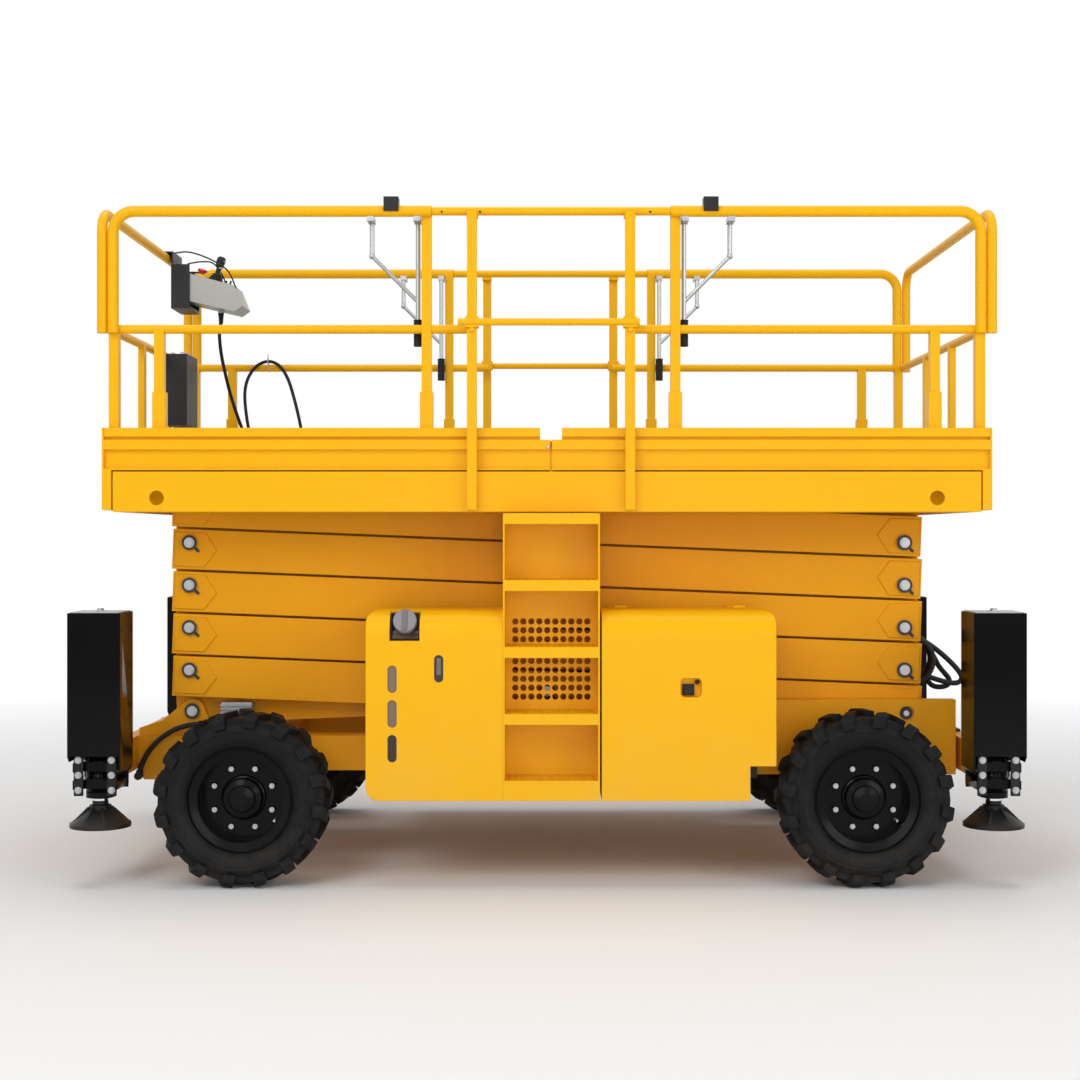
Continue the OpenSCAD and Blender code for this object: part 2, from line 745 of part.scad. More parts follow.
// Hose bend in the X-Z plane with a ferrule on each end
module hose_bend(bend, r, turn) {
  rotate([90, 0, 0]) {
    rotate_extrude(angle = turn) translate([bend, 0]) circle(r);
    for (a = [0, turn]) rotate([0, 0, a]) translate([bend, a == 0 ? -30 : -8, 0]) rotate([-90, 0, 0])
      cylinder(r = r + 4, h = 38);
  }
}

bulkhead_x = pin_x - 20;
bulkhead_z = 950;
loop_x = bulkhead_x + 100;
front_hose_r = 295;

module hose_loops() {
  hose_y = rail_y + rail_w + 20;
  color("#17181a") {
    // bulkhead bracket on the rear end beam
    box([bulkhead_x, -440, rail_z1], [end_beam_l - rail_x0, -250, rail_z1 + 12]);
    box([bulkhead_x, -440, rail_z1], [bulkhead_x + 15, -250, bulkhead_z + 150]);
    for (k = [0 : 2]) {
      y = -405 + k * 60;
      r = 105 + k * 8;
      translate([loop_x, y, bulkhead_z]) rotate([0, 90, 0]) hose_bend(r, hose_r, 180);
      for (z = [bulkhead_z - r, bulkhead_z + r]) rod_x(y, z, hose_r + 1, bulkhead_x + 10, loop_x - 15);
    }
    // hose from the front pivot's plate over the nose, down towards the near front jack
    near_side() translate([-pin_x + 48, hose_y, base_pin_z - 57 - front_hose_r]) {
      rotate([0, -90, 0]) hose_bend(front_hose_r, 12, 76);
      rod_y(18, front_hose_r, 18, inner_arm_y + arm_t + 28 + face_clear - hose_y, 16);
      rotate([0, -76, 0]) rod_y(-18, front_hose_r, 18, -20 + face_clear, 16);
    }
  }
}

// Jacks

// One stabiliser leg at the rear on the far side: cover, barrel and the plates that hold it
module jack_leg() {
  difference() {
    union() {
      difference() {
        along_y(jack_y0, jack_y1) polygon([
          [jack_x - jack_l / 2, jack_tip_z + 60], [jack_x - jack_l / 2, jack_z1],
          [jack_x + jack_l / 2, jack_z1], [jack_x + jack_l / 2, jack_cut_z],
          [jack_x + jack_l / 2 - 45, jack_tip_z], [jack_x - jack_l / 2 + 40, jack_tip_z]
        ]);
        box([jack_x - jack_l / 2 + jack_wall, jack_y0 + jack_wall, 0],
            [jack_x + jack_l / 2 - jack_wall, jack_y1 - jack_wall, jack_z1 - jack_wall]);
      }
      // barrel, hung from the cover's top and held by clamp plates
      rod_z(jack_x, jack_y, jack_barrel_d / 2, jack_barrel_z0, jack_z1 - 1);
      for (z = [jack_barrel_z0 + 20, jack_barrel_z0 + 96])
        box([jack_x - 98, jack_y0 + 1, z], [jack_x + 98, jack_y1 - 22, z + 40]);
    }
    rod_z(jack_x, jack_y, jack_rod_d / 2 + pin_clear, 0, jack_z1 - 60);
  }
}

module jack_legs() {
  color("#131313") both_ends() both_sides() jack_leg();
}

// Rod with its dished foot plate, rear far side
module jack_foot() {
  color("#1d1d1d") {
    rod_z(jack_x, jack_y, jack_rod_d / 2, foot_z + foot_h - 20, jack_z1 - 70);
    translate([jack_x, jack_y, 0]) rotate_extrude() polygon([
      [0, foot_z], [foot_d / 2, foot_z], [foot_d / 2, foot_z + 16], [60, foot_z + 72],
      [48, foot_z + 78], [48, foot_z + 96], [30, foot_z + foot_h - 12],
      [30, foot_z + foot_h], [0, foot_z + foot_h]
    ]);
    for (k = [0 : foot_ribs - 1]) translate([jack_x, jack_y, 0]) rotate([0, 0, (k + 0.5) * 360 / foot_ribs])
      along_y(-5, 5) polygon([
        [40, foot_z + 60], [40, foot_z + 90], [56, foot_z + 88], [foot_d / 2 - 14, foot_z + 27],
        [foot_d / 2 - 10, foot_z + 10]
      ]);
  }
}

module place_jack(front, near) {
  mirror([front ? 1 : 0, 0, 0]) mirror([0, near ? 1 : 0, 0]) children();
}

// Scissor stack

// Moves into the frame of a stage's arm: along local X, tilted down to the rear for an outer arm
module arm_frame(i, outer) {
  translate([0, 0, stage_z(i)]) rotate([0, outer ? arm_tilt : -arm_tilt, 0]) children();
}

// Places of an arm's pins, as [along, up] from its middle
function outer_pins() = [[-pin_along, pin_offset], [0, 0], [pin_along, -pin_offset]];
function inner_pins() = [[-pin_along, -pin_offset], [0, 0], [pin_along, pin_offset]];

// Pointed doubler plate round an end pin, its tip towards the middle of the arm
module doubler(end) {
  along_y(outer_face_y - 1, outer_face_y + plate_t) polygon([
    [end * (pin_along + arm_end - 10), -arm_h / 2 + 14], [end * (pin_along + arm_end - 10), arm_h / 2 - 14],
    [end * (pin_along - 70), arm_h / 2 - 14], [end * (pin_along - 125), 0],
    [end * (pin_along - 70), -arm_h / 2 + 14]
  ]);
}

// Pair of outer arms with the pins that they carry
module outer_arms(i) {
  color("#f0a808") arm_frame(i, true) both_sides() {
    box([-pin_along - arm_end, outer_arm_y, -arm_h / 2], [pin_along + arm_end, outer_face_y, arm_h / 2]);
    for (end = [-1, 1]) doubler(end);
    for (k = [0 : 2]) {
      p = outer_pins()[k];
      to_platform = (i == stages && k == 0);
      is_roller = (i == 1 && k == 2);
      out_y = to_platform ? track_y1 - track_web - 4 : is_roller ? roller_y1 : outer_face_y + plate_t + 2;
      rod_y(p[0], p[1], pin_d / 2, is_roller || to_platform ? outer_arm_y : inner_arm_y - 10, out_y);
      if (is_roller) rod_y(p[0], p[1], roller_r, roller_y0, roller_y1);
      if (!to_platform && !is_roller) {
        rod_y(p[0], p[1], 39, outer_face_y, outer_face_y + plate_t + 4);
        rod_y(p[0], p[1], 25, outer_face_y, outer_face_y + plate_t + 2 + pin_head_t);
      }
    }
  }
}

lift_stages = [1, 3];

// Welded inner frame: two arms, cross tubes and, on some, the seats of the lift cylinders
module inner_frame(i) {
  carries_barrel = len([for (s = lift_stages) if (s == i) s]) > 0;
  takes_rod = len([for (s = lift_stages) if (s + 1 == i) s]) > 0;
  color("#eda207") arm_frame(i, false) difference() {
    union() {
      both_sides()
        box([-pin_along - arm_end, inner_arm_y, -arm_h / 2],
            [pin_along + arm_end, inner_arm_y + arm_t, arm_h / 2]);
      for (x = [-cross_tube_at, cross_tube_at])
        rod_y(x, 0, cross_tube_d / 2, -inner_arm_y - 1, inner_arm_y + 1);
      if (carries_barrel)
        rod_y(barrel_foot_at * cos(fold_rest - arm_tilt), barrel_foot_at * sin(fold_rest - arm_tilt),
              seat_tube_r, -inner_arm_y - 1, inner_arm_y + 1);
      if (takes_rod) both_sides() clevis_half();
      if (i == stages) both_sides() {
        rod_y(pin_along, pin_offset, pin_d / 2, inner_arm_y, roller_y1);
        rod_y(pin_along, pin_offset, roller_r, roller_y0, roller_y1);
      }
    }
    both_sides() for (k = [0 : 2]) if (!(i == stages && k == 2))
      rod_y(inner_pins()[k][0], inner_pins()[k][1], pin_d / 2 + pin_clear,
            inner_arm_y - 20, inner_arm_y + arm_t + 1);
  }
}

// Half of a cross tube at the middle of the frame, ending in an ear beside the rod's eye
module clevis_half() {
  ear_y = clevis_w / 2 + clevis_gap;
  rod_y(0, 0, 36, ear_y, inner_arm_y - 26);
  rod_y(0, 0, 56, ear_y, ear_y + clevis_t);
  box([-80, inner_arm_y - 40, -34], [80, inner_arm_y - 20, 34]);
  for (x = [-80, 52]) box([x, inner_arm_y - 40, -34], [x + 28, inner_arm_y + 1, 34]);
}

// Moves to a lift cylinder's foot, its axis along local X towards the eye
module lift_frame(i) {
  translate([barrel_foot_at * cos(fold_rest), 0, stage_z(i) + barrel_foot_at * sin(fold_rest)])
    rotate([0, lift_angle, 0]) mirror([1, 0, 0]) children();
}

barrel_l = lift_len - eye_r - 60;

module lift_barrel(i) {
  color("#e9a406") lift_frame(i) difference() {
    union() {
      rod_y(0, 0, eye_r, -clevis_w / 2, clevis_w / 2);
      rod_x(0, 0, barrel_d / 2, 30, barrel_l);
      rod_x(0, 0, barrel_d / 2 + 3, barrel_l - 60, barrel_l);
    }
    rod_x(0, 0, lift_rod_d / 2 + pin_clear, 90, barrel_l + 1);
    rod_y(0, 0, seat_tube_r + pin_clear, -clevis_w, clevis_w);
  }
}

module lift_rod(i) {
  color("#d0d2d4") lift_frame(i) {
    rod_x(0, 0, lift_rod_d / 2, 100, lift_len - 20);
    rod_y(lift_len, 0, eye_r - 8, -clevis_w / 2, clevis_w / 2);
  }
}

// Platform

module platform_base() {
  color("#fbc00a") difference() {
    union() {
      both_sides() {
        box([-base_half_l, base_y - base_t, base_z0], [base_half_l, base_y, base_z1]);
        // longitudinal beam: pin seats at the front, roller track at the rear
        along_x(track_x0, base_half_l - 4) track_section(top_pin_z, base_z0, base_z1);
        box([-pin_x - 120, track_y0 + 4, base_z0], [-pin_x + 160, track_y0 + 34, base_z1]);
        along_x(-base_half_l + 4, track_x0 + 1) {
          translate([track_y1 - track_web, base_z0]) square([track_web, base_z1 - base_z0]);
          translate([track_y0 + 30, base_z1 - track_flange]) square([30, track_flange]);
        }
        // bottom flange of the side panel
        box([-base_half_l, base_y - 50, base_z0], [base_half_l, base_y, base_z0 + base_t]);
        // outriggers from the beam to the side panel
        for (k = [-2.5 : 2.5])
          box([k * outrigger_pitch - 5, track_y1 - 1, base_z0 + 20],
              [k * outrigger_pitch + 5, base_y - 1, base_z1]);
      }
      // deck plate and end panels
      box([-base_half_l, -base_y, base_z1 - 1], [base_half_l, base_y, deck_z]);
      for (x = [-base_half_l, base_half_l - base_t])
        box([x, -base_y, base_z0], [x + base_t, base_y, base_z1]);
      // cross ribs under the deck, clear of the arms
      for (x = [-base_half_l + 40, base_half_l - 150])
        box([x, -track_y1, base_z0 + 30], [x + 60, track_y1, base_z1]);
    }
    both_sides() {
      rod_y(-pin_x, top_pin_z, pin_d / 2 + pin_clear, track_y0 - 40, track_y1 - track_web - 2);
      for (x = [-1, 1])
        rod_y(x * (base_half_l - 196), 1714, sling_hole_d / 2, base_y - base_t - 1, base_y + 1);
    }
  }
}

// Places of the fixed posts along the machine
function post_places() = [deck_split_x - mid_post_x, deck_split_x + mid_post_x];

// Fixed posts and the slim top rails that reach into the extensions' rails
module slim_rails() {
  color("#fbc30d") both_sides() {
    rod_x(rail_line_y, top_rail_z, slim_rail_d / 2, -slim_reach, slim_reach);
    for (x = post_places()) {
      box([x - post_w / 2, base_y, base_z0 + 8], [x + post_w / 2, base_y + 40, top_rail_z - 9]);
      box([x - 26, rail_line_y - 6, top_rail_z - 34], [x + 26, base_y + 4, top_rail_z - 12]);
      // stop under the sliding bar's collar
      box([x - 10, base_y + 39, entry_z - 44], [x + 10, base_y + 48, entry_z - 24 - face_clear]);
    }
  }
}

// Sliding bar between the fixed posts, with a collar round each
module entry_bar() {
  color("#fbc30d") difference() {
    union() {
      rod_x(base_y + 42, entry_z, 16, post_places()[0] - post_w / 2 - 40, post_places()[1] + post_w / 2 + 20);
      for (x = post_places())
        box([x - post_w / 2 - 8, base_y - 5, entry_z - 24], [x + post_w / 2 + 8, base_y + 49, entry_z + 24]);
    }
    for (x = post_places())
      box([x - post_w / 2 - 2, base_y - 1, entry_z - 200], [x + post_w / 2 + 2, base_y + 42, entry_z + 200]);
  }
}

// Rear extension: floor, side walls and toe boards
module extension_deck(split) {
  color("#fbc00a") {
    box([split + split_gap / 2, -ext_y, ext_deck_z], [ext_x, ext_y, ext_deck_z + ext_deck_t]);
    both_sides() {
      // runners on the fixed deck
      for (y = [300, 760])
        box([split + 40, y, deck_z + face_clear], [base_half_l - 60, y + 60, ext_deck_z + 1]);
      // side wall, flange and toe board
      box([split + split_gap / 2, ext_y - 26, ext_deck_z], [ext_x, ext_y - 20, flange_z1 - 1]);
      box([split + split_gap / 2, ext_y - 26, flange_z0], [ext_x, ext_y, flange_z1]);
      box([split + split_gap / 2 + 45, ext_y - 26, flange_z1 - 2], [ext_x, ext_y - 20, toe_z1]);
      box([split + split_gap / 2 + 45, ext_y - 21, toe_z1 - toe_h], [ext_x, ext_y - 4, toe_z1]);
    }
    // end wall, end toe board and the apron below it
    box([ext_x - 8, -ext_y, ext_deck_z], [ext_x, ext_y, toe_z1]);
    box([base_half_l + 8, -ext_y, base_z0 + 8], [ext_x, ext_y, base_z0 + 60]);
    for (y = [-ext_y, -300, 260, ext_y - 40])
      box([base_half_l + 8, y, base_z0 + 8], [ext_x, y + 40, ext_deck_z + 1]);
    box([base_half_l + 8, -ext_y, ext_deck_z - 20], [ext_x, ext_y, ext_deck_z + 1]);
  }
}

// Front extension, with the gland that takes the control cable through its floor
module front_deck() {
  foot = cable_points[len(cable_points) - 1];
  floor_z = ext_deck_z + ext_deck_t;
  color("#fbc00a") {
    mirror([1, 0, 0]) extension_deck(-deck_split_x);
    rod_z(foot[0], foot[1], gland_r, floor_z - 1, foot[2] - face_clear);
  }
}

// Rear extension's guard rails
module extension_rails(split) {
  post_x = inner_post_x + split;
  leg_z = mid_rail_z - 20;
  floor_z = ext_deck_z + ext_deck_t;
  tr = top_rail_d / 2;
  mr = mid_rail_d / 2;
  color("#fbc30d") difference() {
    union() {
      both_sides() {
        // side frame: top rail, bend and leg
        rod_x(rail_line_y, top_rail_z, tr, post_x - 22, side_leg_x - bend_r + e);
        translate([side_leg_x - bend_r, rail_line_y, top_rail_z - bend_r]) quarter_bend(bend_r, tr);
        rod_z(side_leg_x, rail_line_y, tr, leg_z, top_rail_z - bend_r + e);
        rod_x((post_y0 + post_y1) / 2, mid_rail_z, mr, mid_post_x + split - 10, side_leg_x + 20);
        // posts in their sleeves
        for (post = [[post_x, top_rail_z - 10], [outer_post_x, mid_rail_z - 5]]) {
          box([post[0] - 22, post_y0, floor_z], [post[0] + 22, post_y1, post[1]]);
          box([post[0] - 29, post_y0 - 7, floor_z], [post[0] + 29, ext_y - 26.5, floor_z + sleeve_h]);
        }
        box([side_leg_x - 22, post_y0, floor_z], [side_leg_x + 22, post_y1, mid_rail_z + 10]);
        // end frame: leg and bend
        rod_z(end_leg_x, rail_line_y - 2, tr - 2, leg_z, top_rail_z - bend_r + e);
        translate([end_leg_x, rail_line_y - 2 - bend_r, top_rail_z - bend_r])
          rotate([0, 0, 90]) quarter_bend(bend_r, tr - 2);
      }
      // end rails
      rod_y(end_leg_x, top_rail_z, tr - 2, -rail_line_y + 2 + bend_r - e, rail_line_y - 2 - bend_r + e);
      rod_y(end_leg_x - 24, mid_rail_z, mr, -rail_line_y, rail_line_y);
      for (y = [-300, 256]) box([end_leg_x - 44, y, floor_z], [end_leg_x - 14, y + 44, mid_rail_z]);
    }
    both_sides() rod_x(rail_line_y, top_rail_z, slim_rail_d / 2 + 2.5, 0, slim_reach + 100);
  }
}

// Push handles that hang inside the middle rails, on plates under the rear extension's top rails
module handles(split) {
  x1 = inner_post_x + split + 42;
  x2 = x1 + 208;
  hang_y = -handle_in;
  z1 = top_rail_z - top_rail_d / 2 - 12;
  z2 = top_rail_z - 190;
  strut = [x1 - x2, 0, -208];
  color("#b9bcc0") both_sides() translate([0, rail_line_y, 0]) {
    rod_z(x1, hang_y, 11, mid_rail_z - 30, z1 - 8 - face_clear);
    rod_z(x1, hang_y, 17, mid_rail_z - 72, mid_rail_z + 46);
    rod_z(x2, hang_y, 11, z2, z1 - 8 - face_clear);
    translate([x2, hang_y, z2]) sphere(14);
    translate([x2, hang_y, z2]) rotate([0, atan2(strut[0], strut[2]), 0]) cylinder(r = 9, h = norm(strut));
    for (x = [x1, x2]) difference() {
      box([x - 16, hang_y - 16, z1 - 8], [x + 16, 16, z1 + 14]);
      rod_x(0, top_rail_z, top_rail_d / 2 + face_clear, x - 17, x + 17);
    }
  }
}

// Rubber stop on the near top rail, at the rear
module rail_stop(split) {
  x = inner_post_x + split + stop_at;
  color("#1a1b1d") near_side() difference() {
    box([x - 33, rail_line_y - 36, top_rail_z - 4], [x + 33, rail_line_y + 36, top_rail_z + 60]);
    rod_x(rail_line_y, top_rail_z, top_rail_d / 2 + face_clear, x - 40, x + 40);
  }
}

console_x = -ext_x + 30;
console_y = 450;
console_w = 240;
console_z = top_rail_z - 85;

// Black holder hooked over the front end rail
module console_bracket() {
  half = console_w / 2 + 10;
  hook_z = top_rail_z + top_rail_d / 2;
  hook_w = console_w / 2 - 10;
  color("#17181a") {
    difference() {
      box([console_x + 2, console_y - half, console_z - 185],
          [console_x + 98, console_y + half, console_z + 45]);
      box([console_x + 8, console_y - half + 8, console_z - 170],
          [console_x + 99, console_y + half - 8, console_z + 55]);
    }
    box([console_x - 60, console_y - hook_w, hook_z - 1.5], [console_x + 8, console_y + hook_w, hook_z + 5]);
    box([console_x + 2, console_y - hook_w, console_z + 35], [console_x + 8, console_y + hook_w, hook_z + 4]);
  }
}

// Control console with its sloping top, its joystick and the gland of its cable
module console() {
  x0 = console_x + 8 + face_clear;
  color("#c9cbc8") {
    along_y(console_y - console_w / 2, console_y + console_w / 2) polygon([
      [x0, console_z - 125], [console_x + 330, console_z - 200], [console_x + 372, console_z - 170],
      [console_x + 330, console_z - 65], [console_x + 90, console_z], [x0, console_z]
    ]);
    translate([console_x + 210, console_y, console_z - 45]) rotate([0, 15, 0]) {
      cylinder(r1 = 34, r2 = 26, h = 26);
      cylinder(r = 9, h = 90);
      translate([0, 0, 88]) cylinder(r1 = 15, r2 = 20, h = 46);
    }
    translate([console_x + gland_x, console_y, console_z - gland_drop + face_clear])
      cylinder(r = gland_r, h = 24);
  }
}

holder_y0 = 160;
holder_y1 = 420;
holder_h = 366;
holder_z1 = mid_rail_z + 2;

// Open holder for the manuals, on the front end rails
module document_box() {
  color("#1b1b1d") difference() {
    box([-end_leg_x + 44 + face_clear, holder_y0, holder_z1 - holder_h],
        [-end_leg_x + 154, holder_y1, holder_z1]);
    box([-end_leg_x + 50, holder_y0 + 6, holder_z1 - holder_h + 20],
        [-end_leg_x + 148, holder_y1 - 6, holder_z1 + 4]);
  }
}

// Control cable, along its own points
cable_points = [
  [-1722, 450, 2720], [-1722, 450, 2680], [-1732, 458, 2614], [-1730, 490, 2520], [-1718, 535, 2420],
  [-1695, 595, 2290], [-1660, 660, 2155], [-1620, 720, 2030], [-1585, 765, 1935], [-1565, 800, 1884],
  [-1572, 830, 1884], [-1600, 848, 1960], [-1632, 852, 2070], [-1656, 854, 2190], [-1668, 855, 2320],
  [-1652, 856, 2410], [-1605, 857, 2480], [-1540, 858, 2508], [-1478, 858, 2484], [-1430, 857, 2410],
  [-1395, 856, 2300], [-1366, 854, 2180], [-1344, 852, 2060], [-1330, 850, 1950], [-1324, 848, 1905],
  [-1324, 848, 1868]
];
cable_r = 9;
gland_r = 16;
gland_x = 238;
gland_drop = 195;
cable_sides = 8;

function unit(v) = v / norm(v);
function tangent(pts, i) = unit(pts[min(i + 1, len(pts) - 1)] - pts[max(i - 1, 0)]);
function ring(pts, i, r, n) =
  let (t = tangent(pts, i), u = unit(cross(t, [1, 0.37, 0.21])), v = cross(t, u))
  [for (k = [0 : n - 1]) pts[i] + r * (cos(360 * k / n) * u + sin(360 * k / n) * v)];

module swept_tube(pts, r, n) {
  last = len(pts) - 1;
  polyhedron(
    points = [for (i = [0 : last]) each ring(pts, i, r, n)],
    faces = concat(
      [[for (k = [0 : n - 1]) n - 1 - k]],
      [for (i = [0 : last - 1]) for (k = [0 : n - 1])
        [i * n + k, i * n + (k + 1) % n, (i + 1) * n + (k + 1) % n, (i + 1) * n + k]],
      [[for (k = [0 : n - 1]) last * n + k]]
    ),
    convexity = 6
  );
}

module control_cable() {
  color("#17181a") swept_tube(cable_points, cable_r, cable_sides);
}

chassis_frame();
front_axle();
rear_axle();
access_ladders();
front_covers();
filler_cap();
engine_block();
lashing_eyes();
jack_legs();
hose_loops();
cooler_box();
hood_near();
hood_far();
near_side() knuckle();  // knuckle_near
knuckle();  // knuckle_far
tie_rod();
steer_rod();
place_wheel(front_x, false) tyre();  // tyre_front_near
place_wheel(front_x, true) tyre();  // tyre_front_far
place_wheel(rear_x, false) tyre();  // tyre_rear_near
place_wheel(rear_x, true) tyre();  // tyre_rear_far
place_wheel(front_x, false) rim();  // rim_front_near
place_wheel(front_x, true) rim();  // rim_front_far
place_wheel(rear_x, false) rim();  // rim_rear_near
place_wheel(rear_x, true) rim();  // rim_rear_far
place_jack(true, true) jack_foot();  // jack_foot_front_near
place_jack(true, false) jack_foot();  // jack_foot_front_far
place_jack(false, true) jack_foot();  // jack_foot_rear_near
place_jack(false, false) jack_foot();  // jack_foot_rear_far
inner_frame(1);  // inner_frame_1
inner_frame(2);  // inner_frame_2
inner_frame(3);  // inner_frame_3
inner_frame(4);  // inner_frame_4
inner_frame(5);  // inner_frame_5
outer_arms(1);  // outer_arms_1
outer_arms(2);  // outer_arms_2
outer_arms(3);  // outer_arms_3
outer_arms(4);  // outer_arms_4
outer_arms(5);  // outer_arms_5
lift_barrel(lift_stages[0]);  // lift_barrel_low
lift_rod(lift_stages[0]);  // lift_rod_low
lift_barrel(lift_stages[1]);  // lift_barrel_high
lift_rod(lift_stages[1]);  // lift_rod_high
platform_base();
slim_rails();
near_side() entry_bar();  // entry_bar_near
entry_bar();  // entry_bar_far
front_deck();
mirror([1, 0, 0]) extension_rails(-deck_split_x);  // front_rails
mirror([1, 0, 0]) handles(-deck_split_x);  // front_handles
mirror([1, 0, 0]) rail_stop(-deck_split_x);  // front_stop
extension_deck(deck_split_x);  // rear_deck
extension_rails(deck_split_x);  // rear_rails
handles(deck_split_x);  // rear_handles
rail_stop(deck_split_x);  // rear_stop
console_bracket();
console();
document_box();
control_cable();
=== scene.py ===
# %% [markdown]
# # A rough-terrain scissor lift, dressed for its portrait
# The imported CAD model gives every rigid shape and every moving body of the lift.
# This lesson adds the finishes and the small parts: paint, rubber, bolts, grips, tread plate and a cable.
# All lengths are metres, in the same frame as the CAD: +X to the rear, -Y towards the camera, +Z up.

# %% Load the frame
import json
import math

import bmesh
import bpy
from mathutils import Matrix, Vector


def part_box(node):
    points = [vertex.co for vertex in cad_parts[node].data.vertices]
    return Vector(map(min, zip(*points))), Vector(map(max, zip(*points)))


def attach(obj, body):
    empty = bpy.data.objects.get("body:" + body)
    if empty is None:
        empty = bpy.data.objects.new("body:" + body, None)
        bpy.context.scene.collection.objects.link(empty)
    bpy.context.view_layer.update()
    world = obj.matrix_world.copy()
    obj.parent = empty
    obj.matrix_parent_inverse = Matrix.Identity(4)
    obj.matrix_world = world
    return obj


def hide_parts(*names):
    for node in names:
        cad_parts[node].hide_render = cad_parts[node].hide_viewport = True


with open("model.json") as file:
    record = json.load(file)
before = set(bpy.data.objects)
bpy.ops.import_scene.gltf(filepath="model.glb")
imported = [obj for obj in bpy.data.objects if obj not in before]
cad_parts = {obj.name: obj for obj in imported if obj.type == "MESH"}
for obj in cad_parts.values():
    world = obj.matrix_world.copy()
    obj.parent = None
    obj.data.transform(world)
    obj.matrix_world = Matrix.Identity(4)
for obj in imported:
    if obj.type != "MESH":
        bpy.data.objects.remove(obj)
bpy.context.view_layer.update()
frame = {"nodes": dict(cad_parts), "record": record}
nodes = frame["nodes"]
scene = bpy.context.scene

# %% [markdown]
# ## The camera
# The photograph is a level side view from about seven and a half metres off the near wheels.
# A long lens keeps the near and far guard rails close in size, and a small shift places the lift in the frame.
# The camera could be aimed by hand in the viewport, but written numbers give the same picture on every run.

# %% Camera
CAMERA_PLACE = Vector((0.0, -8.60, 1.544))
LENS_PIXELS = 1713.0
IMAGE_SIDE = 1080.0
SENSOR_SIDE = 36.0
SHIFT_PIXELS = (-7.0, -4.0)


def add_object(name, data):
    """Links a new object that holds a mesh, a lamp or a camera."""
    made = bpy.data.objects.new(name, data)
    scene.collection.objects.link(made)
    return made


camera_data = bpy.data.cameras.new("portrait_camera")
camera_data.sensor_width = SENSOR_SIDE
camera_data.lens = SENSOR_SIDE * LENS_PIXELS / IMAGE_SIDE
camera_data.shift_x = SHIFT_PIXELS[0] / IMAGE_SIDE
camera_data.shift_y = SHIFT_PIXELS[1] / IMAGE_SIDE
camera = add_object("portrait_camera", camera_data)
camera.location = CAMERA_PLACE
camera.rotation_euler = (math.radians(90), 0, 0)
scene.camera = camera
print("lens in mm:", round(camera_data.lens, 2))

# %% [markdown]
# ## Shared effects
# Real paint and rubber are never one even colour, and dust gathers on them towards the ground.
# Each material could have its own noise, but the effect comes back in every finish, so it is a node group.
# It mottles a colour a little, lays dust on it near the ground and gives a fine height for grain.


# %% Helpers for shader nodes
def new_group(name, inputs, outputs):
    """A shader node group with named sockets. Each socket is (name, type, default)."""
    tree = bpy.data.node_groups.new(name, "ShaderNodeTree")
    for socket, kind, default in inputs:
        made = tree.interface.new_socket(socket, in_out="INPUT", socket_type=kind)
        if default is not None:
            made.default_value = default
    for socket, kind in outputs:
        tree.interface.new_socket(socket, in_out="OUTPUT", socket_type=kind)
    return tree, tree.nodes.new("NodeGroupInput"), tree.nodes.new("NodeGroupOutput")


def add_node(tree, kind, **settings):
    """A node with its properties and unlinked input values set by name."""
    node = tree.nodes.new(kind)
    for key, value in settings.items():
        if hasattr(node, key) and key not in node.inputs:
            setattr(node, key, value)
        else:
            node.inputs[key].default_value = value
    return node


def math_node(tree, operation, first, second):
    """A math node. Each operand is a socket or a number."""
    node = tree.nodes.new("ShaderNodeMath")
    node.operation = operation
    for slot, value in zip(node.inputs, (first, second)):
        if isinstance(value, (int, float)):
            slot.default_value = value
        else:
            tree.links.new(value, slot)
    return node.outputs[0]


def mix_colour(tree, factor, first, second):
    """A colour mix. The operands are sockets or colour tuples."""
    node = tree.nodes.new("ShaderNodeMix")
    node.data_type = "RGBA"
    for slot, value in zip((node.inputs[0], node.inputs[6], node.inputs[7]), (factor, first, second)):
        if isinstance(value, (tuple, float, int)):
            slot.default_value = value
        else:
            tree.links.new(value, slot)
    return node.outputs[2]


def map_range(tree, value, low, high, to_low, to_high):
    """A clamped map range of a socket."""
    node = tree.nodes.new("ShaderNodeMapRange")
    tree.links.new(value, node.inputs[0])
    for slot, number in zip(node.inputs[1:5], (low, high, to_low, to_high)):
        slot.default_value = number
    return node.outputs[0]


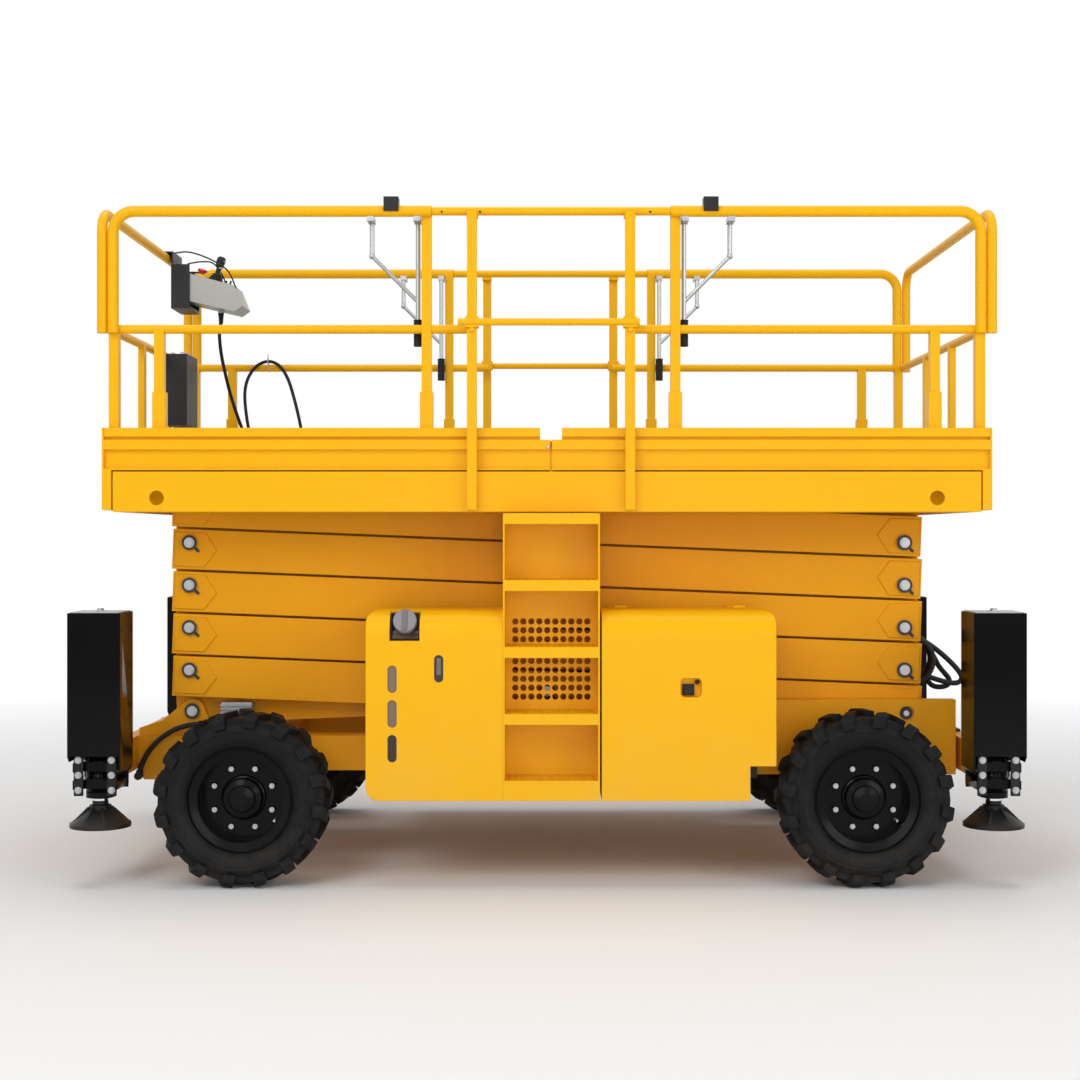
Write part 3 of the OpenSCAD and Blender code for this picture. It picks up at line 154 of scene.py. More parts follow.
# %% Weathered colour group
def make_weathered_group():
    """Mottles a colour, dusts it towards the ground and gives a roughness and a fine height."""
    tree, source, sink = new_group(
        "weathered_colour",
        [("Vector", "NodeSocketVector", None), ("Colour", "NodeSocketColor", (0.5, 0.5, 0.5, 1)),
         ("Dust Colour", "NodeSocketColor", (0.42, 0.36, 0.27, 1)), ("Mottle", "NodeSocketFloat", 0.08),
         ("Mottle Scale", "NodeSocketFloat", 5.0), ("Dust", "NodeSocketFloat", 0.2),
         ("Dust Top", "NodeSocketFloat", 0.9), ("Grain Scale", "NodeSocketFloat", 400.0),
         ("Roughness", "NodeSocketFloat", 0.35)],
        [("Colour", "NodeSocketColor"), ("Roughness", "NodeSocketFloat"), ("Height", "NodeSocketFloat")])
    wide = add_node(tree, "ShaderNodeTexNoise", Detail=4.0, Roughness=0.6)
    fine = add_node(tree, "ShaderNodeTexNoise", Detail=2.0)
    for node, scale in ((wide, "Mottle Scale"), (fine, "Grain Scale")):
        tree.links.new(source.outputs["Vector"], node.inputs["Vector"])
        tree.links.new(source.outputs[scale], node.inputs["Scale"])
    parts = tree.nodes.new("ShaderNodeSeparateXYZ")
    tree.links.new(source.outputs["Vector"], parts.inputs[0])
    darker = mix_colour(tree, source.outputs["Mottle"], source.outputs["Colour"], (0.0, 0.0, 0.0, 1.0))
    shade = mix_colour(tree, wide.outputs["Fac"], darker, source.outputs["Colour"])
    lowness = math_node(tree, "SUBTRACT", source.outputs["Dust Top"], parts.outputs["Z"])
    lowness = map_range(tree, lowness, 0.0, 0.9, 0.0, 1.0)
    patches = map_range(tree, wide.outputs["Fac"], 0.35, 0.65, 0.2, 1.0)
    dust = math_node(tree, "MULTIPLY", lowness, patches)
    dust = math_node(tree, "MULTIPLY", dust, source.outputs["Dust"])
    tree.links.new(mix_colour(tree, dust, shade, source.outputs["Dust Colour"]), sink.inputs["Colour"])
    spread = math_node(tree, "MULTIPLY", math_node(tree, "SUBTRACT", wide.outputs["Fac"], 0.5), 0.18)
    rough = math_node(tree, "ADD", source.outputs["Roughness"], spread)
    rough = math_node(tree, "ADD", rough, math_node(tree, "MULTIPLY", dust, 0.5))
    tree.links.new(rough, sink.inputs["Roughness"])
    tree.links.new(fine.outputs["Fac"], sink.inputs["Height"])
    return tree


weathered = make_weathered_group()
print("shared effect:", weathered.name)

# %% [markdown]
# ## Finishes
# The lift wears yellow enamel, black enamel, rubber, plastic, and plated or cast metal; a deeper orange copy
# of the yellow is painted shade on the arms, chassis and axles under the platform.
# They could be painted as pictures, but noise on Object coordinates needs none and moves with its piece.
# Every finish is a Principled shader with the weathered group in front of it.
# Paint gets a faint orange peel, rubber a coarse grain, and plated metal a high metallic value.
# The paint's gloss is kept low, because a bright studio would wash its colour out.


# %% Finish maker
def make_finish(name, colour, roughness, metallic=0.0, mottle=0.08, mottle_scale=5.0, dust=0.15,
                dust_top=0.9, grain=400.0, bump=0.05, bump_distance=0.0004, specular=0.5, edge=0.0):
    """A weathered finish on Object coordinates."""
    material = bpy.data.materials.new(name)
    material.use_nodes = True
    tree = material.node_tree
    shader = tree.nodes["Principled BSDF"]
    place = tree.nodes.new("ShaderNodeTexCoord")
    group = tree.nodes.new("ShaderNodeGroup")
    group.node_tree = weathered
    tree.links.new(place.outputs["Object"], group.inputs["Vector"])
    settings = {"Colour": (*colour, 1.0), "Mottle": mottle, "Mottle Scale": mottle_scale, "Dust": dust,
                "Dust Top": dust_top, "Grain Scale": grain, "Roughness": roughness}
    for key, value in settings.items():
        group.inputs[key].default_value = value
    tree.links.new(group.outputs["Colour"], shader.inputs["Base Color"])
    tree.links.new(group.outputs["Roughness"], shader.inputs["Roughness"])
    peel = add_node(tree, "ShaderNodeBump", Strength=bump, Distance=bump_distance)
    tree.links.new(group.outputs["Height"], peel.inputs["Height"])
    if edge:
        soft = add_node(tree, "ShaderNodeBevel", samples=4, Radius=edge)
        tree.links.new(soft.outputs["Normal"], peel.inputs["Normal"])
    tree.links.new(peel.outputs["Normal"], shader.inputs["Normal"])
    shader.inputs["Metallic"].default_value = metallic
    shader.inputs["Specular IOR Level"].default_value = specular
    return material


# %% Finishes of the lift
finishes = {
    "yellow": make_finish("yellow_enamel", (0.94, 0.485, 0.004), 0.34, mottle=0.06, specular=0.15,
                          edge=0.004),
    # A deeper, more orange copy of the yellow enamel: painted shade for the parts under the platform.
    "arm": make_finish("yellow_enamel_painted_shade", (0.86, 0.37, 0.004), 0.38, mottle=0.08, specular=0.15, edge=0.005),
    "black_gloss": make_finish("black_enamel", (0.002, 0.002, 0.0025), 0.14, dust=0.02, specular=0.11,
                               edge=0.003),
    "black": make_finish("black_satin_paint", (0.006, 0.006, 0.007), 0.34, dust=0.06, specular=0.22,
                         edge=0.003),
    "tyre": make_finish("tyre_rubber", (0.006, 0.0065, 0.008), 0.66, specular=0.15, mottle=0.25,
                        mottle_scale=14.0, dust=0.05, dust_top=0.8, grain=260.0, bump=0.35,
                        bump_distance=0.0012),
    "rubber": make_finish("moulded_rubber", (0.010, 0.010, 0.011), 0.6, grain=300.0, bump=0.2, dust=0.04,
                          specular=0.3),
    "plastic": make_finish("black_plastic", (0.011, 0.011, 0.012), 0.45, grain=700.0, bump=0.12, dust=0.02,
                           specular=0.3),
    "grey": make_finish("grey_plastic", (0.46, 0.47, 0.45), 0.42, grain=700.0, bump=0.1, dust=0.0),
    "mid_grey": make_finish("mid_grey_plastic", (0.15, 0.14, 0.13), 0.5, grain=700.0, bump=0.1, dust=0.0),
    "cap_grey": make_finish("filler_cap_grey", (0.25, 0.23, 0.25), 0.45, grain=700.0, bump=0.1, dust=0.0),
    # Taupe: painted shade of the dim inside seen through the upper slots, and the colour of the filler tray.
    "taupe": make_finish("taupe_slot_shade_and_tray", (0.20, 0.135, 0.10), 0.25, grain=700.0, bump=0.02, dust=0.0),
    # Deep brown: painted shade of the dark inside seen through the slots.
    "painted_shade_brown": make_finish("window_painted_shade", (0.022, 0.006, 0.004), 0.3, grain=700.0, bump=0.02, dust=0.0),
    "zinc": make_finish("zinc_plate", (0.52, 0.53, 0.54), 0.34, metallic=0.9, mottle=0.25,
                        mottle_scale=40.0, dust=0.0),
    "chrome": make_finish("chromed_rod", (0.78, 0.79, 0.80), 0.08, metallic=1.0, mottle=0.03, dust=0.0,
                          bump=0.01),
    "iron": make_finish("cast_iron", (0.05, 0.05, 0.052), 0.65, metallic=0.3, grain=180.0, bump=0.4,
                        dust=0.1),
    "alloy": make_finish("cast_alloy", (0.40, 0.41, 0.42), 0.5, metallic=0.6, grain=220.0, bump=0.25,
                         dust=0.05),
    "tread": make_finish("tread_plate_steel", (0.30, 0.31, 0.32), 0.42, metallic=0.75, mottle=0.2,
                         dust=0.0),
    "red": make_finish("red_plastic", (0.55, 0.01, 0.01), 0.35, dust=0.0),
    "bright_yellow": make_finish("yellow_plastic", (0.85, 0.55, 0.01), 0.4, dust=0.0),
    "white": make_finish("white_plastic", (0.72, 0.72, 0.70), 0.45, dust=0.0),
}
slot_finish = {
    "yellow_paint": "yellow", "arm_yellow": "arm", "black_steel": "black", "black_gloss": "black_gloss",
    "black_plastic": "plastic", "grey_plastic": "grey", "engine": "iron", "hose": "rubber",
    "bare_alloy": "alloy", "chrome_rod": "chrome", "zinc": "zinc", "tyre": "tyre",
}
# The chassis frame and axles take the deeper orange copy too: painted shade for the warmer hue that yellow
# takes in shade.
node_finish = {"chassis_frame": "arm", "front_axle": "arm", "rear_axle": "arm"}
for part in frame["record"]["subparts"]:
    mesh = nodes[part["node"]].data
    mesh.materials.clear()
    chosen = node_finish.get(part["node"], slot_finish[part["material_slot"]])
    if part["node"].startswith("rim_"):
        chosen = "black_gloss"
    mesh.materials.append(finishes[chosen])
print("finishes:", len(finishes))

# %% [markdown]
# ## Small tools for making pieces
# A piece is a mesh at the origin that rides on a CAD body.
# Blender's own operators would need a selection, so these helpers build boxes, turned shapes and bent
# tubes as plain mesh data, and hand the finished piece to its body.


# %% Piece helpers
MERGE_DISTANCE = 1e-6
SHARP_ANGLE = math.radians(35)


def mesh_from(name, bm):
    """Turns a bmesh into mesh data and frees it."""
    mesh = bpy.data.meshes.new(name)
    bm.to_mesh(mesh)
    bm.free()
    return mesh


def smooth_faces(mesh):
    """Shades a mesh smooth, with its corners kept sharp."""
    mesh.shade_smooth()
    mesh.set_sharp_from_angle(angle=SHARP_ANGLE)


def finish_piece(name, bm, body, finish, bevel=0.0):
    """Turns a bmesh into a piece that rides on a body."""
    bmesh.ops.remove_doubles(bm, verts=bm.verts, dist=MERGE_DISTANCE)
    bmesh.ops.recalc_face_normals(bm, faces=bm.faces)
    mesh = mesh_from(name, bm)
    piece = add_object(name, mesh)
    mesh.materials.append(finishes[finish])
    if bevel:
        rounding = piece.modifiers.new("rounded_edges", "BEVEL")
        rounding.width = bevel
        rounding.segments = 2
        rounding.limit_method = "ANGLE"
    smooth_faces(mesh)
    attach(piece, body)
    return piece


def add_box(bm, low, high, turn=None):
    """Adds a box between two corners, turned by a matrix if one is given."""
    low, high = Vector(low), Vector(high)
    place = Matrix.Translation((low + high) / 2) @ Matrix.Diagonal((*(high - low), 1.0))
    bmesh.ops.create_cube(bm, size=1.0, matrix=(turn @ place) if turn else place)


def add_lathe(bm, profile, matrix, steps=32):
    """Adds a shape turned about local Z from (radius, height) points, closed at the ends on the axis."""
    turns = [2 * math.pi * k / steps for k in range(steps)]
    rings = []
    for radius, height in profile:
        rings.append([bm.verts.new(matrix @ Vector((radius * math.cos(a), radius * math.sin(a), height)))
                      for a in (turns if radius else turns[:1])])
    for low, high in zip(rings, rings[1:]):
        for k in range(steps):
            corners = [low[k % len(low)], low[(k + 1) % len(low)],
                       high[(k + 1) % len(high)], high[k % len(high)]]
            corners = list(dict.fromkeys(corners))
            if len(corners) > 2:
                bm.faces.new(corners)


def add_tube(bm, points, radius, sides=10):
    """Adds a round tube along points, closed at both ends."""
    points = [Vector(p) for p in points]
    rings = []
    side = None
    for k, point in enumerate(points):
        ahead = (points[min(k + 1, len(points) - 1)] - points[max(k - 1, 0)]).normalized()
        if side is None:
            side = ahead.orthogonal().normalized()
        side = (side - ahead * side.dot(ahead)).normalized()
        other = ahead.cross(side)
        rings.append([bm.verts.new(point + radius * (math.cos(a) * side + math.sin(a) * other))
                      for a in (2 * math.pi * s / sides for s in range(sides))])
    for low, high in zip(rings, rings[1:]):
        for s in range(sides):
            bm.faces.new((low[s], low[(s + 1) % sides], high[(s + 1) % sides], high[s]))
    bm.faces.new(reversed(rings[0]))
    bm.faces.new(rings[-1])


def facing(place, direction):
    """A matrix at a place whose Z looks along a direction."""
    turn = Vector(direction).to_track_quat("Z", "Y").to_matrix().to_4x4()
    return Matrix.Translation(Vector(place)) @ turn


# %% [markdown]
# ## The control cable
# A rubber cable leaves the underside of the console, drops to the deck, loops up to the far middle rail and
# goes back down to a gland in the floor. A curve with a round bevel would do as well, but a tube swept
# along points is a plain mesh at once.

# %% Control cable
CABLE_RADIUS = 0.009
CABLE_ROUTE = [
    (-1.722, 0.450, 2.720), (-1.722, 0.450, 2.680), (-1.732, 0.458, 2.614), (-1.730, 0.490, 2.520),
    (-1.718, 0.535, 2.420), (-1.695, 0.595, 2.290), (-1.660, 0.660, 2.155), (-1.620, 0.720, 2.030),
    (-1.585, 0.765, 1.935), (-1.565, 0.800, 1.884), (-1.572, 0.830, 1.884), (-1.600, 0.848, 1.960),
    (-1.632, 0.852, 2.070), (-1.656, 0.854, 2.190), (-1.668, 0.855, 2.320), (-1.652, 0.856, 2.410),
    (-1.605, 0.857, 2.480), (-1.540, 0.858, 2.508), (-1.478, 0.858, 2.484), (-1.430, 0.857, 2.410),
    (-1.395, 0.856, 2.300), (-1.366, 0.854, 2.180), (-1.344, 0.852, 2.060), (-1.330, 0.850, 1.950),
    (-1.324, 0.848, 1.905), (-1.324, 0.848, 1.868),
]


def smooth_route(points, steps):
    """Catmull-Rom points through a route."""
    points = [Vector(p) for p in points]
    ends = [2 * points[0] - points[1]] + points + [2 * points[-1] - points[-2]]
    route = []
    for a, b, c, d in zip(ends, ends[1:], ends[2:], ends[3:]):
        for k in range(steps):
            t = k / steps
            route.append(0.5 * (2 * b + (c - a) * t + (2 * a - 5 * b + 4 * c - d) * t ** 2
                                + (3 * b - a - 3 * c + d) * t ** 3))
    return route + [points[-1]]


cable_line = smooth_route(CABLE_ROUTE, 5)
bm = bmesh.new()
add_tube(bm, cable_line, CABLE_RADIUS, sides=12)
cable = finish_piece("control_cable_skin", bm, "front_extension", "rubber")
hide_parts("control_cable")

# %% [markdown]
# A tapered rubber sleeve takes the bend at each end of the cable, and a white tie holds its loop to the rail.
# The sleeves are turned from one ribbed profile, which is simpler than modelling each rib.
# The tie runs round two circles, the rail and the cable, so its path is the outline of both.

# %% Cable sleeves and tie
FAR_MID_RAIL = Vector((0.8915, 2.474))
TIE_PLACE = Vector((-1.540, 0.858, 2.508))

bm = bmesh.new()
sleeve = [(0.0, 0.0), (0.0155, 0.0), (0.0155, 0.008)]
for k in range(5):
    low = 0.010 + 0.008 * k
    rib = 0.0140 - 0.0006 * k
    sleeve += [(rib, low), (rib, low + 0.004), (0.0125 - 0.0004 * k, low + 0.005)]
sleeve += [(0.0105, 0.054), (0.0, 0.054)]
add_lathe(bm, sleeve, facing(CABLE_ROUTE[0], (0, 0, -1)), steps=18)
add_lathe(bm, sleeve, facing(CABLE_ROUTE[-1], (0, 0, 1)), steps=18)
finish_piece("cable_sleeves", bm, "front_extension", "rubber")

loop_centre = Vector(TIE_PLACE.yz)
outward_turn = math.atan2(loop_centre.y - FAR_MID_RAIL.y, loop_centre.x - FAR_MID_RAIL.x)
outline = []
for centre, radius, first in ((FAR_MID_RAIL, 0.0215, 0.5), (loop_centre, 0.0108, -0.5)):
    for k in range(9):
        turn = outward_turn + math.pi * (first + k / 8)
        across, up = radius * math.cos(turn), radius * math.sin(turn)
        outline.append((TIE_PLACE.x, centre.x + across, centre.y + up))
bm = bmesh.new()
add_tube(bm, outline + outline[:1], 0.0026, sides=8)
add_box(bm, (-1.544, 0.853, 2.516), (-1.536, 0.861, 2.525))
add_box(bm, (-1.543, 0.856, 2.522), (-1.537, 0.858, 2.546))
finish_piece("cable_tie", bm, "front_extension", "white")
print("cable tied at", tuple(round(c, 3) for c in TIE_PLACE))

# %% [markdown]
# ## Pin heads on the scissor arms
# Each pivot pin ends in a dark washer and a plated hex head on the outer arms, with a keeper tab beside it.
# Copies could be set one by one, but they repeat on every arm, so Geometry Nodes place one bolt shape on a
# cloud of points.
# Each point carries the direction in which its bolt looks.


# %% Geometry Nodes: bolts on points
def make_bolt_tree():
    """A tree that puts a washer and a hex head on every point, looking along its facing attribute."""
    tree = bpy.data.node_groups.new("bolts_on_points", "GeometryNodeTree")
    tree.interface.new_socket("Geometry", in_out="INPUT", socket_type="NodeSocketGeometry")
    for name, default in (("Head Radius", 0.018), ("Head Height", 0.012), ("Washer Radius", 0.03),
                          ("Washer Height", 0.004)):
        made = tree.interface.new_socket(name, in_out="INPUT", socket_type="NodeSocketFloat")
        made.default_value = default
    tree.interface.new_socket("Material", in_out="INPUT", socket_type="NodeSocketMaterial")
    tree.interface.new_socket("Geometry", in_out="OUTPUT", socket_type="NodeSocketGeometry")
    source = tree.nodes.new("NodeGroupInput")
    sink = tree.nodes.new("NodeGroupOutput")
    link = tree.links.new

    def cylinder(radius, height, sides, lift):
        made = tree.nodes.new("GeometryNodeMeshCylinder")
        made.inputs["Vertices"].default_value = sides
        link(source.outputs[radius], made.inputs["Radius"])
        link(source.outputs[height], made.inputs["Depth"])
        half = tree.nodes.new("ShaderNodeMath")
        half.operation = "MULTIPLY_ADD"
        link(source.outputs[height], half.inputs[0])
        half.inputs[1].default_value = 0.5
        if lift:
            link(source.outputs[lift], half.inputs[2])
        else:
            half.inputs[2].default_value = 0.0
        offset = tree.nodes.new("ShaderNodeCombineXYZ")
        link(half.outputs[0], offset.inputs["Z"])
        move = tree.nodes.new("GeometryNodeTransform")
        link(made.outputs["Mesh"], move.inputs["Geometry"])
        link(offset.outputs[0], move.inputs["Translation"])
        return move.outputs[0]

    join = tree.nodes.new("GeometryNodeJoinGeometry")
    link(cylinder("Washer Radius", "Washer Height", 20, None), join.inputs[0])
    link(cylinder("Head Radius", "Head Height", 6, "Washer Height"), join.inputs[0])
    look = tree.nodes.new("GeometryNodeInputNamedAttribute")
    look.data_type = "FLOAT_VECTOR"
    look.inputs["Name"].default_value = "facing"
    align = tree.nodes.new("FunctionNodeAlignRotationToVector")
    align.axis = "Z"
    link(look.outputs["Attribute"], align.inputs["Vector"])
    place = tree.nodes.new("GeometryNodeInstanceOnPoints")
    link(source.outputs["Geometry"], place.inputs["Points"])
    link(join.outputs[0], place.inputs["Instance"])
    link(align.outputs[0], place.inputs["Rotation"])
    real = tree.nodes.new("GeometryNodeRealizeInstances")
    link(place.outputs[0], real.inputs[0])
    paint = tree.nodes.new("GeometryNodeSetMaterial")
    link(real.outputs[0], paint.inputs["Geometry"])
    link(source.outputs["Material"], paint.inputs["Material"])
    link(paint.outputs[0], sink.inputs[0])
    return tree


def run_tree(name, tree, points, directions, values, body, finish):
    """Runs a points tree with its inputs set, and keeps the result as a plain mesh piece."""
    mesh = bpy.data.meshes.new(name + "_points")
    mesh.from_pydata([tuple(p) for p in points], [], [])
    look = mesh.attributes.new("facing", "FLOAT_VECTOR", "POINT")
    for item, direction in zip(look.data, directions):
        item.vector = direction
    carrier = add_object(name + "_points", mesh)
    modifier = carrier.modifiers.new("nodes", "NODES")
    modifier.node_group = tree
    for item in tree.interface.items_tree:
        if item.in_out == "INPUT" and item.name in values:
            modifier[item.identifier] = values[item.name]
        if item.in_out == "INPUT" and item.name == "Material":
            modifier[item.identifier] = finishes[finish]
    graph = bpy.context.evaluated_depsgraph_get()
    result = bpy.data.meshes.new_from_object(carrier.evaluated_get(graph))
    bpy.data.objects.remove(carrier)
    result.name = name
    piece = add_object(name, result)
    smooth_faces(result)
    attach(piece, body)
    return piece


bolt_tree = make_bolt_tree()


def bolts(name, places, body, head, height, washer, washer_height, finish="zinc"):
    """Bolts at (place, direction) pairs on one body."""
    values = {"Head Radius": head, "Head Height": height, "Washer Radius": washer,
              "Washer Height": washer_height}
    points, directions = zip(*places)
    return run_tree(name, bolt_tree, points, directions, values, body, finish)


# %% Pin heads
STAGES = 5
PIN_X = 1.66
BASE_PIN_Z = 0.725
STAGE_RISE = 0.197
PIN_FACE_Y = 0.6481
WASHER_STACK = 0.005
DOUBLER_Y = 0.636
KEEPER_TURN = Matrix.Rotation(math.radians(45), 4, "Y")


def level(stage):
    """The height of a pin, counted in stages above the base pins."""
    return BASE_PIN_Z + stage * STAGE_RISE


for stage in range(1, STAGES + 1):
    spots = [(0.0, level(stage - 0.5))]
    if stage < STAGES:
        spots.append((-PIN_X, level(stage)))
    if stage > 1:
        spots.append((PIN_X, level(stage - 1)))
    places = [((x, side * PIN_FACE_Y, z), (0, side, 0)) for x, z in spots for side in (-1, 1)]
    bolts(f"pin_washers_{stage}", places, f"outer_{stage}", 0.030, 0.002, 0.0355, 0.003,
          "iron")
    places = [(Vector(p) + WASHER_STACK * Vector(d), d) for p, d in places]
    bolts(f"pin_heads_{stage}", places, f"outer_{stage}", 0.019, 0.011, 0.024, 0.003)
    bm = bmesh.new()
    for x, z in spots:
        for side in (-1, 1):
            turn = Matrix.Translation((x, side * DOUBLER_Y, z)) @ KEEPER_TURN
            add_box(bm, (0.034, -0.005, -0.007), (0.060, 0.005, 0.007), turn)
    finish_piece(f"pin_keepers_{stage}", bm, f"outer_{stage}", "iron", bevel=0.0015)
print("pin heads on", STAGES, "stages")

# %% [markdown]
# The lowest pins sit in the chassis lugs at the front, and in rollers on their tracks at the rear.
# They come from the same bolt tree, because only their sizes differ.
# The roller's end face is read from the CAD model, so that the thin cap lies on it.

# %% Base pins
LUG_FACE_Y = 0.5831
places = [((-PIN_X, side * LUG_FACE_Y, BASE_PIN_Z), (0, side, 0)) for side in (-1, 1)]
bolts("lug_washers", places, "chassis", 0.030, 0.002, 0.0365, 0.003, "iron")
places = [(Vector(p) + WASHER_STACK * Vector(d), d) for p, d in places]
bolts("lug_pin_heads", places, "chassis", 0.019, 0.011, 0.024, 0.003)
roller_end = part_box("outer_arms_1")[1][1]
places = [((PIN_X, side * roller_end, BASE_PIN_Z), (0, side, 0)) for side in (-1, 1)]
bolts("roller_caps", places, "outer_1", 0.024, 0.0006, 0.030, 0.0008, "iron")
places = [(Vector(p) + 0.0014 * Vector(d), d) for p, d in places]
bolts("roller_pin_ends", places, "outer_1", 0.011, 0.0008, 0.013, 0.0006)
print("roller end at Y:", round(roller_end, 4))

# %% [markdown]
# ## Rear hoses
# Two long hoses hang in a loop from the bulkhead plate behind the scissor stack, between the short ones
# of the CAD model.
# A simulated rope would sag by itself, but a pressure hose is stiff, so its bend is given by points.
# Both ends are on the chassis, so nothing has to stretch when the arms rise.

# %% Rear hoses
BULKHEAD_FACE = 1.655
HOSE_RADIUS = 0.0125
FERRULE = [(0.0, 0.0), (0.019, 0.0), (0.019, 0.016), (0.0155, 0.018), (0.0155, 0.046), (0.0, 0.046)]
hoses, ferrules = bmesh.new(), bmesh.new()
for y, reach, high, low in ((-0.375, 1.990, 1.062, 0.905), (-0.315, 1.945, 1.040, 0.925)):
    route = [(BULKHEAD_FACE, y, high), (1.745, y, high + 0.008), (1.845, y, high - 0.045),
             (reach - 0.050, y, high - 0.125), (reach, y, high - 0.190),
             (reach - 0.020, y, high - 0.222), (reach - 0.085, y, high - 0.216),
             (1.800, y, low - 0.025), (1.730, y, low), (BULKHEAD_FACE, y, low)]
    add_tube(hoses, smooth_route(route, 7), HOSE_RADIUS, sides=14)
    for z in (high, low):
        add_lathe(ferrules, FERRULE, facing((BULKHEAD_FACE, y, z), (1, 0, 0)), steps=16)
finish_piece("rear_hoses", hoses, "chassis", "rubber")
finish_piece("rear_hose_ferrules", ferrules, "chassis", "zinc")
print("rear hoses: 2")

# %% [markdown]
# ## Jack clamps
# The outer panel of each jack's cover stops above its tip, so that the clamp shows: two flanges with three
# plated bolts each, and the jack's barrel between them.
# The CAD cover is closed there, so a Boolean cut opens it on a copy that stands in for the CAD node.
# A CAD mesh is loose triangles, so the copy's corners are merged first.

# %% Open the jack covers
JACK_X, JACK_Y = 1.984, 0.989
JACK_CORNERS = [(end, side) for end in (-1, 1) for side in (-1, 1)]
PANEL_END = 0.578
bm = bmesh.new()
for end, side in JACK_CORNERS:
    x = end * JACK_X
    y0, y1 = sorted((side * 1.090, side * 1.110))
    add_box(bm, (x - 0.108, y0, 0.400), (x + 0.108, y1, PANEL_END))
    y0, y1 = sorted((side * 1.0535, side * 1.100))
    add_box(bm, (x - 0.064, y0, 0.425), (x + 0.064, y1, PANEL_END))
cutter = add_object("jack_cutter", mesh_from("jack_cutter", bm))
bm = bmesh.new()
bm.from_mesh(nodes["jack_legs"].data)
bmesh.ops.remove_doubles(bm, verts=bm.verts, dist=MERGE_DISTANCE)
closed_mesh = nodes["jack_legs"].data.copy()
bm.to_mesh(closed_mesh)
bm.free()
carrier = add_object("jack_carrier", closed_mesh)
cut = carrier.modifiers.new("open_panels", "BOOLEAN")
cut.object = cutter
cut.operation = "DIFFERENCE"
cut.solver = "EXACT"
cut.use_self = True
graph = bpy.context.evaluated_depsgraph_get()
opened = bpy.data.meshes.new_from_object(carrier.evaluated_get(graph))
bpy.data.objects.remove(carrier)
bpy.data.objects.remove(cutter)
opened.name = "jack_covers_open"
smooth_faces(opened)
covers = add_object("jack_covers_open", opened)
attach(covers, "chassis")
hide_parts("jack_legs")
print("jack covers opened:", len(JACK_CORNERS))

# %% Jack clamps
BOLT_OFFSET = 0.073
BOLT_LEVELS = (0.428, 0.494, 0.560)
FLANGE_FACE = 1.0835
flanges, rings = bmesh.new(), bmesh.new()
places = []
for end, side in JACK_CORNERS:
    x, y = end * JACK_X, side * JACK_Y
    for dx in (-BOLT_OFFSET, BOLT_OFFSET):
        y0, y1 = sorted((side * (FLANGE_FACE - 0.012), side * FLANGE_FACE))
        add_box(flanges, (x + dx - 0.021, y0, 0.402), (x + dx + 0.021, y1, 0.590))
        places += [((x + dx, side * FLANGE_FACE, z), (0, side, 0)) for z in BOLT_LEVELS]
    y0, y1 = sorted((side * 0.884, side * 0.890))
    add_box(flanges, (x - 0.100, y0, 0.415), (x + 0.100, y1, 0.600))
    for radius, low, high in ((0.0625, 0.386, 0.411), (0.0655, 0.470, 0.476), (0.0655, 0.540, 0.552)):
        add_lathe(rings, [(0.0405, low), (radius, low), (radius, high), (0.0405, high), (0.0405, low)],
                  Matrix.Translation((x, y, 0)), steps=40)
finish_piece("clamp_flanges", flanges, "chassis", "black", bevel=0.004)
finish_piece("barrel_rings", rings, "chassis", "black_gloss")
bolts("jack_clamp_bolts", places, "chassis", 0.012, 0.009, 0.0155, 0.003)
for end, side in JACK_CORNERS:
    bm = bmesh.new()
    add_lathe(bm, [(0.0345, 0.372), (0.0358, 0.372), (0.0358, 0.381), (0.0345, 0.381), (0.0345, 0.372)],
              Matrix.Translation((end * JACK_X, side * JACK_Y, 0)))
    name = f"jack_{'front' if end < 0 else 'rear'}_{'near' if side < 0 else 'far'}"
    finish_piece(f"{name}_ring", bm, name, "chrome")
print("clamp bolts:", len(places))

# %% [markdown]
# A pale cap plate closes the top of each jack, with one bolt in its middle; its pale colour is partly a
# painted highlight for the glint along the cover's top edge.
# A thin box with a bevel gives the plate, and the bolt tree gives the bolts.

# %% Jack caps
JACK_TOP = 1.206
bm = bmesh.new()
places = []
for end, side in JACK_CORNERS:
    x, y = end * JACK_X, side * JACK_Y
    add_box(bm, (x - 0.108, y - 0.108, JACK_TOP - 0.001), (x + 0.108, y + 0.108, JACK_TOP + 0.004))
    places.append(((x, y, JACK_TOP + 0.004), (0, 0, 1)))
# Pale alloy plate: partly a painted highlight of the glint on the cover's top edge.
finish_piece("jack_caps_and_painted_highlight", bm, "chassis", "alloy", bevel=0.0015)
bolts("jack_cap_bolts", places, "chassis", 0.015, 0.010, 0.024, 0.003)
print("jack caps:", len(places))

# %% [markdown]
# ## Wheels
# The tyre's side wall carries moulded rings between the bead and the shoulder lugs.
# They could be cut into the tyre itself, but a torus laid on the wall leaves the CAD mesh alone.
# The stud ends in the wheel nuts and the valve are plated, so they stand out on the black rim.


# %% Wheel dressing
def add_ring(bm, matrix, ring_radius, height, wire_radius, steps=72, sides=8):
    """Adds a torus about local Z at a height."""
    rings = []
    for k in range(steps):
        turn = 2 * math.pi * k / steps
        rings.append([bm.verts.new(matrix @ Vector((
            (ring_radius + wire_radius * math.cos(a)) * math.cos(turn),
            (ring_radius + wire_radius * math.cos(a)) * math.sin(turn),
            height + wire_radius * math.sin(a)))) for a in (2 * math.pi * s / sides for s in range(sides))])
    for k in range(steps):
        one, two = rings[k], rings[(k + 1) % steps]
        for s in range(sides):
            bm.faces.new((one[s], two[s], two[(s + 1) % sides], one[(s + 1) % sides]))


